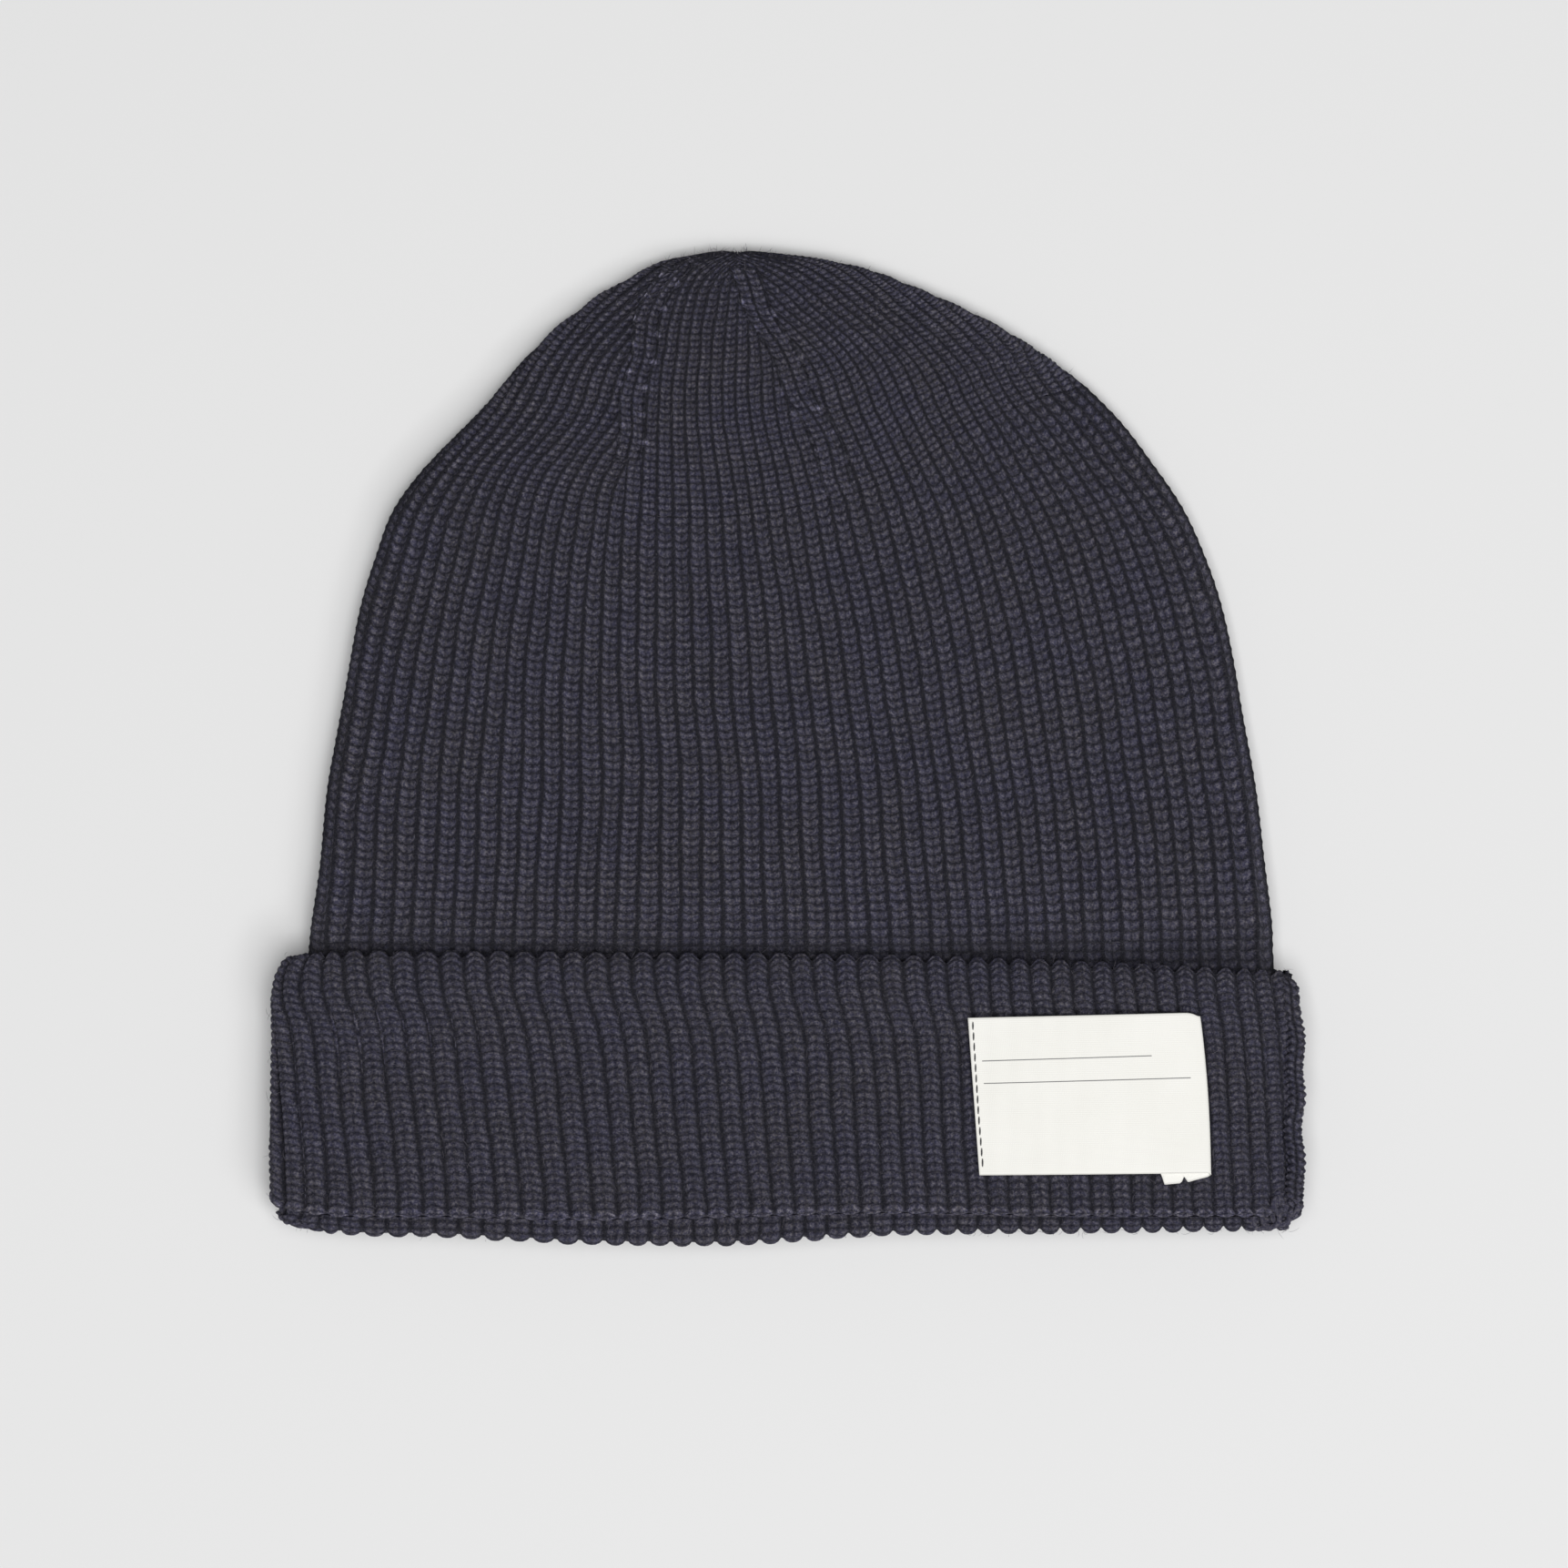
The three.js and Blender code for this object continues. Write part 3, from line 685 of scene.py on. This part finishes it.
def cuff_points(stations, ribs):
    """Points of a band of the cuff. Each station names a line across the cuff, how far above it
    the band runs there, and how far inside the cuff's sides and faces it lies."""
    shape = {"left": CUFF_SIDES[0], "right": CUFF_SIDES[1], "seam_l": CUFF_GORES[0],
             "seam_r": CUFF_GORES[1], "low": CUFF_FACES[0], "high": CUFF_FACES[1], "dish": 0.0,
             "bulge": CUFF_BULGE}
    middle = ((CUFF_SIDES[0] + CUFF_SIDES[1]) / 2, (CUFF_FACES[0] + CUFF_FACES[1]) / 2)
    half = ((CUFF_SIDES[1] - CUFF_SIDES[0]) / 2, (CUFF_FACES[1] - CUFF_FACES[0]) / 2)
    points = np.zeros((len(stations), len(ribs), 3))
    for row, (line, up, sides, faces) in enumerate(stations):
        # How far the ribs have drifted depends on their height, and their height on the drift.
        drift = np.zeros(len(ribs))
        for attempt in range(3):
            x, z = section_points(shape, (ribs + drift / RIB_PITCH) % RIBS_AROUND)
            across = (x - middle[0]) / half[0]
            near_edge = np.clip((np.abs(across) - 0.84) / 0.16, 0, 1)
            near_edge = near_edge ** 2 * (3 - 2 * near_edge)
            x = x - np.sign(across) * sides * near_edge * np.where(across > 0, CUFF_RIGHT_ROUND, 1)
            z = middle[1] + (z - middle[1]) * (1 - faces / half[1])
            y = smooth_value(CUFF_LINES, "x", x, line) + up
            drift = smooth_value(DRIFT, "y", y, "mm") * (1 - 0.18 * across)
        points[row] = np.stack((x, y, z), axis=1)
    return points


def smooth_path(points, steps):
    """A rounder path through each column of points, with steps pieces between each pair."""
    before = np.concatenate((points[:1], points[:-1]))
    after = np.concatenate((points[1:], points[-1:]))
    slopes = (after - before) / 2
    out = []
    for i in range(len(points) - 1):
        for t in np.arange(steps) / steps:
            out.append(points[i] * (1 + 2 * t) * (1 - t) ** 2 + slopes[i] * t * (1 - t) ** 2
                       + points[i + 1] * t ** 2 * (3 - 2 * t) + slopes[i + 1] * t ** 2 * (t - 1))
    out.append(points[-1])
    return np.array(out)


panel_face_stations = (
    ("top", -7.0, 7.2, 5.0), ("top", -2.0, 7.2, 5.4), ("top", 0.2, 6.5, 5.0), ("top", 1.0, 5.2, 3.9),
    ("top", 0.4, 3.3, 2.4), ("top", -1.6, 1.8, 1.2), ("top", -4.6, 0.7, 0.4), ("top", -9.0, 0.1, 0.0),
    ("top", -17.0, 0.3, 0.5), ("top", -30.0, 0.3, 0.1), ("cast_on", 10.0, 0.1, 0.0),
    ("cast_on", 1.6, 0.3, 0.0), ("cast_on", 0.4, 0.8, 0.25), ("cast_on", -0.1, 1.5, 1.1),
)
panel_back_stations = (
    ("cast_on", 0.3, 2.2, 2.2), ("cast_on", 6.0, 2.6, 2.5), ("cast_on", 25.0, 2.6, 2.5),
    ("top", -12.0, 2.8, 2.5), ("top", -7.0, 4.2, 3.2), ("top", -7.0, 6.4, 4.6),
)
panel_path = smooth_path(cuff_points(panel_face_stations, rib_lines), 10)
panel_lengths = runs_along(panel_path)[-1]
panel_count = int(round(panel_lengths.mean() / CUFF_COURSE))
panel_rows = panel_count * ROWS_PER_COURSE + 1
panel_course = np.linspace(0, panel_count, panel_rows)[:, None] + np.zeros((1, COLUMNS + 1))
panel_ribs = np.tile(rib_lines, (panel_rows, 1))
panel_cup = CUFF_CUP * np.abs(2 * (panel_ribs % 1) - 1) ** 1.6
panel_cup = panel_cup * np.clip(np.minimum(panel_course, panel_count - panel_course) / 2, 0, 1)
panel_face = spread_along(panel_path, np.clip((panel_course - panel_cup) / panel_count, 0, 1))
panel_face[:, :, 0] += 0.8 * wander(panel_ribs, panel_face[:, :, 1])
panel_height = knit_relief(panel_ribs, panel_course, CUFF_RIB_DEPTH, CUFF_STITCH_DEPTH, CUFF_RIB_WIDTH)
cast_on_ridge = np.exp(-((panel_count - 1.0 - panel_course) / 0.6) ** 2)
panel_height = panel_height * (1 - 0.9 * cast_on_ridge) + 0.2 * cast_on_ridge
panel_face = add_relief(panel_face, panel_height)
panel_back = cuff_points(panel_back_stations, rib_lines)
panel_points = np.concatenate((panel_face, panel_back, panel_face[:1]))
panel_courses = np.concatenate((
    panel_course, panel_count + np.cumsum(np.full((len(panel_back) + 1, COLUMNS + 1), 4.0), axis=0)))
panel_tone = knit_tone(panel_courses, 100, 60)
# Painted highlight along the cast-on ridge, its grooves filled in too, and painted shade on the fold's
# rim.
ridge_painted_highlight = 2.4 + 9.0 * (1 - rib_profile(panel_ribs % 1, CUFF_RIB_WIDTH))
panel_tone[:panel_rows] += ridge_painted_highlight * cast_on_ridge - 1.3 * np.exp(-((panel_course - 4.0) / 2.0) ** 2)
cuff_panel = ring_piece("cuff_panel", panel_points, lambda row, column, face_column: rib_lines[column],
                        panel_courses, panel_tone)
cuff_wool = wool_finish("cuff_wool", 0.55 * MM, (0.95, 0.56), 0.65, 1.12, 0.10)
cuff_panel.data.materials.append(cuff_wool)
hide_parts("cuff")

# Hem turn: the under layer of the cuff, whose lip shows below the cast-on edge.
# It is the same knit, turned in at the bottom to run up inside the mouth. Its ribs lie beside
# those of the outer layer and give the bottom edge its scallops.
HEM_RIB_DEPTH = 1.25
HEM_STITCH_DEPTH = 0.3
HEM_RIB_WIDTH = 0.97
HEM_RIB_SHIFT = 0.45
hem_face_stations = (
    ("cast_on", 3.0, 2.9, 2.7), ("cast_on", -0.2, 2.4, 2.7), ("cast_on", -1.4, 1.6, 2.5),
    ("hem", 1.6, 1.5, 2.6), ("hem", 0.5, 2.6, 3.3), ("hem", 0.0, 4.6, 4.5), ("hem", 0.3, 7.0, 6.0),
    ("hem", 1.2, 8.3, 7.2), ("hem", 2.6, 8.7, 7.6), ("join", 0.0, 8.7, 7.6),
)
hem_back_stations = (
    ("join", 0.0, 6.6, 6.2), ("join", -0.4, 5.7, 5.0), ("cast_on", 3.4, 5.7, 4.9),
    ("cast_on", 8.0, 5.6, 4.9), ("cast_on", 8.0, 3.2, 3.0),
)
hem_ribs_at = (rib_lines + HEM_RIB_SHIFT) % RIBS_AROUND
hem_path = smooth_path(cuff_points(hem_face_stations, hem_ribs_at), 10)
hem_count = 9
hem_rows = hem_count * ROWS_PER_COURSE + 1
hem_course = np.linspace(0, hem_count, hem_rows)[:, None] + np.zeros((1, COLUMNS + 1))
hem_ribs = np.tile(rib_lines, (hem_rows, 1))
hem_face = spread_along(hem_path, hem_course / hem_count)
hem_face = add_relief(hem_face, knit_relief(hem_ribs, hem_course, HEM_RIB_DEPTH, HEM_STITCH_DEPTH,
                                            HEM_RIB_WIDTH))
hem_back = cuff_points(hem_back_stations, hem_ribs_at)
hem_points = np.concatenate((hem_face, hem_back, hem_face[:1]))
hem_courses = np.concatenate((
    hem_course, hem_count + np.cumsum(np.full((len(hem_back) + 1, COLUMNS + 1), 3.0), axis=0)))
hem_tone = knit_tone(hem_courses, 30, 120)
hem_turn = ring_piece("hem_turn", hem_points, lambda row, column, face_column: rib_lines[column],
                      hem_courses, hem_tone)
hem_turn.data.materials.append(cuff_wool)
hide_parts("cuff")

# Side seam: the two ends of the cuff's panel linked together down its right edge.
# The link is a thick braid of the same yarn, and at the bottom corner a few of its loops curl out.
SEAM_LOOP = 1.75
SEAM_LINE = {
    "y": np.array((-104.6, -102.8, -99.0, -90.0, -76.0, -62.0, -55.0, -51.6, -49.8)),
    "x": np.array((109.4, 111.0, 111.9, 112.1, 112.0, 111.8, 111.4, 110.6, 109.4)),
    "z": np.array((14.6, 15.2, 15.6, 15.8, 15.8, 15.8, 15.6, 14.8, 13.6)),
    "size": np.array((0.35, 0.8, 1.0, 1.0, 1.0, 1.0, 1.0, 0.85, 0.3)),
}
SEAM_HALF_WIDTH = 1.8
SEAM_HALF_HEIGHT = 2.4
SEAM_AROUND = 32
SEAM_ROWS = 221
seam_y = np.linspace(SEAM_LINE["y"][0], SEAM_LINE["y"][-1], SEAM_ROWS)
seam_turn = np.linspace(0, 2 * math.pi, SEAM_AROUND + 1)
seam_at = {name: smooth_value(SEAM_LINE, "y", seam_y, name)[:, None] for name in SEAM_LINE}
seam_crest = np.abs((seam_turn[None, :] / math.pi + 0.25) % 1 - 0.5)
# Hand-linked loops are never quite even, so their spacing, height and line all waver.
seam_run = seam_y[:, None] / SEAM_LOOP + 1.3 * seam_crest
seam_run = seam_run + 0.3 * np.sin(seam_y[:, None] / 3.7) + 0.2 * np.sin(seam_y[:, None] / 1.9 + 1)
seam_groove = 0.5 * np.exp(-((seam_crest - 0.25) / 0.07) ** 2)
seam_lift = 0.9 * np.abs(np.sin(np.pi * seam_run)) - seam_groove - 0.4
seam_lift = seam_lift + 0.25 * np.sin(seam_y[:, None] / 2.3) * np.sin(seam_turn[None, :] * 2)
seam_sway = 0.30 * np.sin(seam_y / 2.1 + 0.6) + 0.22 * np.sin(seam_y / 5.3 + 2)
seam_reach = SEAM_HALF_WIDTH * seam_at["size"] + seam_lift
seam_rise = SEAM_HALF_HEIGHT * seam_at["size"] + seam_lift
seam_points = np.zeros((SEAM_ROWS, SEAM_AROUND + 1, 3))
seam_points[:, :, 0] = seam_at["x"] + seam_sway[:, None] + seam_reach * np.cos(seam_turn)
seam_points[:, :, 1] = seam_at["y"]
seam_points[:, :, 2] = seam_at["z"] - seam_rise * np.sin(seam_turn)
seam_foot, seam_head = (
    np.tile(row.mean(axis=0), (1, SEAM_AROUND + 1, 1)) for row in (seam_points[0], seam_points[-1]))
seam_points = np.concatenate((seam_foot, seam_points, seam_head))
seam_course = np.concatenate((seam_run[:1], seam_run, seam_run[-1:]))
seam_tone = np.full(seam_course.shape, 1.2)
side_seam = ring_piece(
    "seam_braid", seam_points,
    lambda row, column, face_column: seam_turn[column] / math.pi * 2, seam_course, seam_tone)
side_seam.data.materials.append(cuff_wool)
# Loops of yarn at the bottom corner: where each lies, its radius, and how far it leans, in radians.
YARN_RADIUS = 0.62
YARN_UV = (0.3, 0.45)
CORNER_LOOPS = (
    (104.2, -103.9, 17.2, 1.7, 0.5),
    (106.6, -103.2, 17.6, 2.0, -0.4),
    (109.0, -102.6, 17.0, 2.1, 0.3),
    (110.9, -100.8, 16.4, 1.9, -0.5),
    (108.2, -100.2, 18.0, 1.5, 0.8),
)
bm = bmesh.new()
bm.from_mesh(side_seam.data)
braid_faces = set(bm.faces)
for x, y, z, radius, lean in CORNER_LOOPS:
    before = set(bm.verts)
    section = bmesh.ops.create_circle(bm, segments=10, radius=YARN_RADIUS * MM)["verts"]
    bmesh.ops.rotate(bm, verts=section, cent=(0, 0, 0), matrix=Matrix.Rotation(math.pi / 2, 3, "X"))
    bmesh.ops.translate(bm, verts=section, vec=(radius * MM, 0, 0))
    section_edges = list(dict.fromkeys(edge for vert in section for edge in vert.link_edges))
    bmesh.ops.spin(bm, geom=section + section_edges, cent=(0, 0, 0), axis=(0, 0, 1),
                   angle=2 * math.pi, steps=22, use_merge=True)
    loop = [vert for vert in bm.verts if vert not in before]
    bmesh.ops.rotate(bm, verts=loop, cent=(0, 0, 0), matrix=Matrix.Rotation(lean, 3, "Y"))
    bmesh.ops.translate(bm, verts=loop, vec=(x * MM, y * MM, z * MM))
knit_uv = bm.loops.layers.uv["knit"]
for face in set(bm.faces) - braid_faces:
    for corner in face.loops:
        corner[knit_uv].uv = YARN_UV
bmesh.ops.remove_doubles(bm, verts=bm.verts, dist=1e-7)
bmesh.ops.recalc_face_normals(bm, faces=bm.faces)
bm.to_mesh(side_seam.data)
bm.free()
smooth_faces(side_seam.data)
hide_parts("side_seam")

# Label: a woven off-white tape, folded into a flat loop with both ends sewn under its left edge.
# Black cotton stitches hold it to the cuff. The under layer shows past the lower right corner.
TAPE_THICKNESS = 0.36
TAPE_LIFT = 0.35
LABEL_LEFT = {"top": (39.9, -59.0), "bottom": (42.4, -93.4)}
LABEL_RIGHT = {"top": (90.2, -57.9), "bottom": (92.6, -93.0)}
LOOP_GAP = 0.9
LABEL_ALONG = 240
LABEL_ACROSS = 60
label_length = LABEL_RIGHT["top"][0] - LABEL_LEFT["top"][0]
fold_radius = (TAPE_THICKNESS + LOOP_GAP) / 2
fold_run = math.pi * fold_radius
tape_length = 2 * label_length + fold_run
tape_width = LABEL_LEFT["top"][1] - LABEL_LEFT["bottom"][1]
UNDER_DROP = {
    "x": np.array((0.0, 82.3, 82.7, 83.0, 86.6, 87.0, 87.3, 87.7, 88.1, 93.2)),
    "mm": np.array((0.0, 0.0, 2.3, 2.5, 2.2, 1.3, 0.4, 1.6, 2.0, 0.7)),
}


def cuff_face_height(x):
    """Height of the cuff's front face across the width, without its ribs."""
    half = (CUFF_SIDES[1] - CUFF_SIDES[0]) / 2
    share = np.abs(x - (CUFF_SIDES[0] + CUFF_SIDES[1]) / 2) / half
    middle = (CUFF_FACES[0] + CUFF_FACES[1]) / 2
    return middle + (CUFF_FACES[1] - middle) * (1 - share ** CUFF_BULGE) ** (1 / CUFF_BULGE)


bm = bmesh.new()
bmesh.ops.create_grid(bm, x_segments=LABEL_ALONG, y_segments=LABEL_ACROSS, size=0.5)
label_mesh = finished_mesh(bm, "label_tape")
flat = np.zeros(len(label_mesh.vertices) * 3)
label_mesh.vertices.foreach_get("co", flat)
flat = flat.reshape(-1, 3)
tape_run = (flat[:, 0] + 0.5) * tape_length
tape_down = 0.5 - flat[:, 1]
under = tape_run > label_length + fold_run
bend = np.clip((tape_run - label_length) / fold_radius, 0, math.pi)
share = np.where(under, (tape_length - tape_run) / label_length, np.minimum(tape_run / label_length, 1))
edge_at = {}
for side in ("top", "bottom"):
    edge_at[side] = [np.interp(share, [0, 1], ends) for ends in zip(LABEL_LEFT[side], LABEL_RIGHT[side])]
label_x = edge_at["top"][0] + (edge_at["bottom"][0] - edge_at["top"][0]) * tape_down
label_y = edge_at["top"][1] + (edge_at["bottom"][1] - edge_at["top"][1]) * tape_down
drop = np.interp(label_x, UNDER_DROP["x"], UNDER_DROP["mm"]) * np.where(under, 1, bend / math.pi)
label_y = label_y - drop * np.clip((tape_down - 0.8) / 0.2, 0, 1)
# The folded end bows out, and its top corner is a little rounded.
label_x = label_x + 0.5 * np.sin(math.pi * tape_down) * share ** 8
label_y = label_y - 0.8 * np.clip((share - 0.93) / 0.07, 0, 1) ** 3 * (1 - tape_down) ** 12
# The tape stands a little off the wool and waves over the ribs.
wave = 0.12 * np.sin(label_x * 2 * math.pi / RIB_PITCH + 1) * np.where(under, 1, 0.5)
swell = 0.35 * np.sin(math.pi * np.clip(share, 0, 1)) * np.where(under, 0, 1)
label_z = (cuff_face_height(label_x) + TAPE_LIFT + TAPE_THICKNESS / 2 + fold_radius
           + fold_radius * np.cos(bend) + wave + swell)
label_x = label_x + fold_radius * np.sin(bend)
placed = np.stack((label_x, label_y, label_z), axis=1)
label_mesh.vertices.foreach_set("co", (placed * MM).reshape(-1))
tape_uv = label_mesh.uv_layers.new(name="tape")
tape_corners = corner_vertices(label_mesh)
tape_places = np.stack((tape_run[tape_corners], tape_down[tape_corners] * tape_width), axis=1)
tape_uv.data.foreach_set("uv", tape_places.astype(np.float32).reshape(-1))
smooth_faces(label_mesh)
bm = bmesh.new()
bm.from_mesh(label_mesh)
bmesh.ops.recalc_face_normals(bm, faces=bm.faces)
bmesh.ops.solidify(bm, geom=bm.faces, thickness=TAPE_THICKNESS * MM)
bmesh.ops.recalc_face_normals(bm, faces=bm.faces)
bm.to_mesh(label_mesh)
bm.free()
label = add_object("label_tape", label_mesh)

# The tape's finish: a fine weave, off-white, with two thin rules across the upper layer.
WEFT = 0.42
RULE_HALF_WIDTH = 0.11
RULE_START = 2.4
RULES = ({"down": 9.5, "slope": -0.012, "end": 39.5}, {"down": 14.4, "slope": -0.010, "end": 47.5})
woven_tape, tree, shader = new_finish("woven_tape", 0.75, 0.3)
tape_at = add_node(tree, "ShaderNodeSeparateXYZ")
uv = add_node(tree, "ShaderNodeUVMap", uv_map="tape")
tree.links.new(uv.outputs["UV"], tape_at.inputs["Vector"])
run, down = tape_at.outputs["X"], tape_at.outputs["Y"]
weft = math_node(tree, "SINE", math_node(tree, "MULTIPLY", down, 2 * math.pi / WEFT))
warp = math_node(tree, "SINE", math_node(tree, "MULTIPLY", run, 2 * math.pi / (WEFT * 0.8)))
weave = math_node(tree, "MULTIPLY_ADD", weft, 0.6, math_node(tree, "MULTIPLY", warp, 0.3))
add_bump(tree, shader, weave, 0.05 * MM, 0.6)
place = add_node(tree, "ShaderNodeTexCoord").outputs["Object"]
cloud = noise_node(tree, place, 90, 4)
cream = blend_node(tree, cloud.outputs["Fac"], (0.86, 0.85, 0.80), (0.93, 0.92, 0.88))
ruled = 0.0
for rule in RULES:
    level = math_node(tree, "MULTIPLY_ADD", run, rule["slope"], rule["down"])
    off = math_node(tree, "ABSOLUTE", math_node(tree, "SUBTRACT", down, level))
    line = math_node(tree, "LESS_THAN", off, RULE_HALF_WIDTH)
    line = math_node(tree, "MULTIPLY", line, math_node(tree, "LESS_THAN", run, rule["end"]))
    line = math_node(tree, "MULTIPLY", line, math_node(tree, "GREATER_THAN", run, RULE_START))
    ruled = math_node(tree, "MAXIMUM", ruled, line)
inked = blend_node(tree, math_node(tree, "MULTIPLY", ruled, 0.85), cream, (0.10, 0.10, 0.11))
tree.links.new(inked, shader.inputs["Base Color"])
label_mesh.materials.append(woven_tape)

# The sewing down the left edge, in black cotton.
SEWN_LINE = ((40.9, -59.6), (42.2, -80.0), (43.3, -93.2))
STITCH_PITCH = 2.3
STITCH_LENGTH = 1.9
THREAD_RADIUS = 0.17
THREAD_LIFT = 0.12
sewn_y = np.arange(SEWN_LINE[0][1] - STITCH_PITCH / 2, SEWN_LINE[2][1] + 0.8, -STITCH_PITCH)
sewn_x = np.interp(-sewn_y, [-point[1] for point in SEWN_LINE], [point[0] for point in SEWN_LINE])
bm = bmesh.new()
for x, y in zip(sewn_x, sewn_y):
    stitch = bmesh.ops.create_uvsphere(bm, u_segments=10, v_segments=8, radius=THREAD_RADIUS * MM)["verts"]
    bmesh.ops.scale(bm, verts=stitch, vec=(1, STITCH_LENGTH / 2 / THREAD_RADIUS, 1))
    top = cuff_face_height(x) + TAPE_LIFT + 2 * TAPE_THICKNESS + LOOP_GAP + THREAD_LIFT
    bmesh.ops.translate(bm, verts=stitch, vec=(x * MM, y * MM, top * MM))
thread_mesh = finished_mesh(bm, "label_thread")
smooth_faces(thread_mesh)
label_thread = add_object("label_thread", thread_mesh)
black_cotton, tree, shader = new_finish("black_cotton", 0.7, 0.5)
place = add_node(tree, "ShaderNodeTexCoord").outputs["Object"]
twist = noise_node(tree, place, 4000, 2).outputs["Fac"]
dye = blend_node(tree, twist, (0.012, 0.012, 0.014), (0.04, 0.04, 0.045))
tree.links.new(dye, shader.inputs["Base Color"])
add_bump(tree, shader, twist, 0.05 * MM)
thread_mesh.materials.append(black_cotton)
for piece in (label, label_thread):
    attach(piece, "root")
    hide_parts("label")

# Wool fuzz: loose fibres that stand off the knit, as on any brushed woollen yarn.
# Each is a fine tapered hair that leaves the face, bends over and ends free.
FIBRES = 6500
STATIONS = 5
AROUND = 3
FIBRE_RADIUS = 0.035
TABLE_MARGIN = 1.5
LOWEST_Y = -108
knit_faces = (body_face, top_face, panel_face, hem_face)
face_points = np.concatenate([grid[:, :-1].reshape(-1, 3) for grid in knit_faces])
outward = np.concatenate([face_normals(grid)[:, :-1].reshape(-1, 3) for grid in knit_faces])
upper = np.flatnonzero((face_points[:, 2] > TABLE_MARGIN) & (face_points[:, 1] > LOWEST_Y))
fibre_chance = np.random.RandomState(23)
picked = fibre_chance.choice(upper, FIBRES, replace=False)
foot, normal = face_points[picked], outward[picked]
heading = fibre_chance.normal(0, 1, (FIBRES, 3))
heading -= normal * np.sum(heading * normal, axis=1, keepdims=True)
heading /= np.linalg.norm(heading, axis=1, keepdims=True)
length = fibre_chance.uniform(0.8, 3.2, (FIBRES, 1))
rise = fibre_chance.uniform(0.15, 0.85, (FIBRES, 1))
curl = np.cross(normal, heading) * fibre_chance.normal(0, 0.35, (FIBRES, 1)) * length
along = np.linspace(0, 1, STATIONS)[None, :, None]
spine = (foot[:, None] + heading[:, None] * length[:, None] * (along - 0.15)
         + normal[:, None] * (rise[:, None] * np.sin(math.pi * (0.12 + 0.75 * along)) - 0.05)
         + curl[:, None] * along ** 2)
across = np.cross(heading, normal)
fibre_turn = np.linspace(0, 2 * math.pi, AROUND + 1)[None, None, :, None]
taper = np.sin(math.pi * np.array([0.0, 0.35, 0.5, 0.6, 1.0]))[None, :, None, None]
ring = across[:, None, None] * np.cos(fibre_turn) + normal[:, None, None] * np.sin(fibre_turn)
hairs = spine[:, :, None] + ring * FIBRE_RADIUS * taper
bm = bmesh.new()
bmesh.ops.create_grid(bm, x_segments=AROUND, y_segments=FIBRES * STATIONS - 1, size=1)
fuzz_mesh = finished_mesh(bm, "wool_fuzz")
fuzz_mesh.vertices.foreach_set("co", (hairs * MM).reshape(-1))
bm = bmesh.new()
bm.from_mesh(fuzz_mesh)
bm.faces.ensure_lookup_table()
between = [face for face in bm.faces if face.index // AROUND % STATIONS == STATIONS - 1]
bmesh.ops.delete(bm, geom=between, context="FACES")
bmesh.ops.remove_doubles(bm, verts=bm.verts, dist=1e-8)
bmesh.ops.recalc_face_normals(bm, faces=bm.faces)
bm.to_mesh(fuzz_mesh)
bm.free()
smooth_faces(fuzz_mesh)
wool_fuzz = add_object("wool_fuzz", fuzz_mesh)
loose_fibre, tree, shader = new_finish("loose_fibre", 0.8, 0.2)
place = add_node(tree, "ShaderNodeTexCoord").outputs["Object"]
shade = noise_node(tree, place, 160, 2)
fibre_colour = blend_node(tree, shade.outputs["Fac"], (0.07, 0.066, 0.088), (0.24, 0.225, 0.26))
tree.links.new(fibre_colour, shader.inputs["Base Color"])
fuzz_mesh.materials.append(loose_fibre)
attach(wool_fuzz, "root")
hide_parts("crown", "cuff")
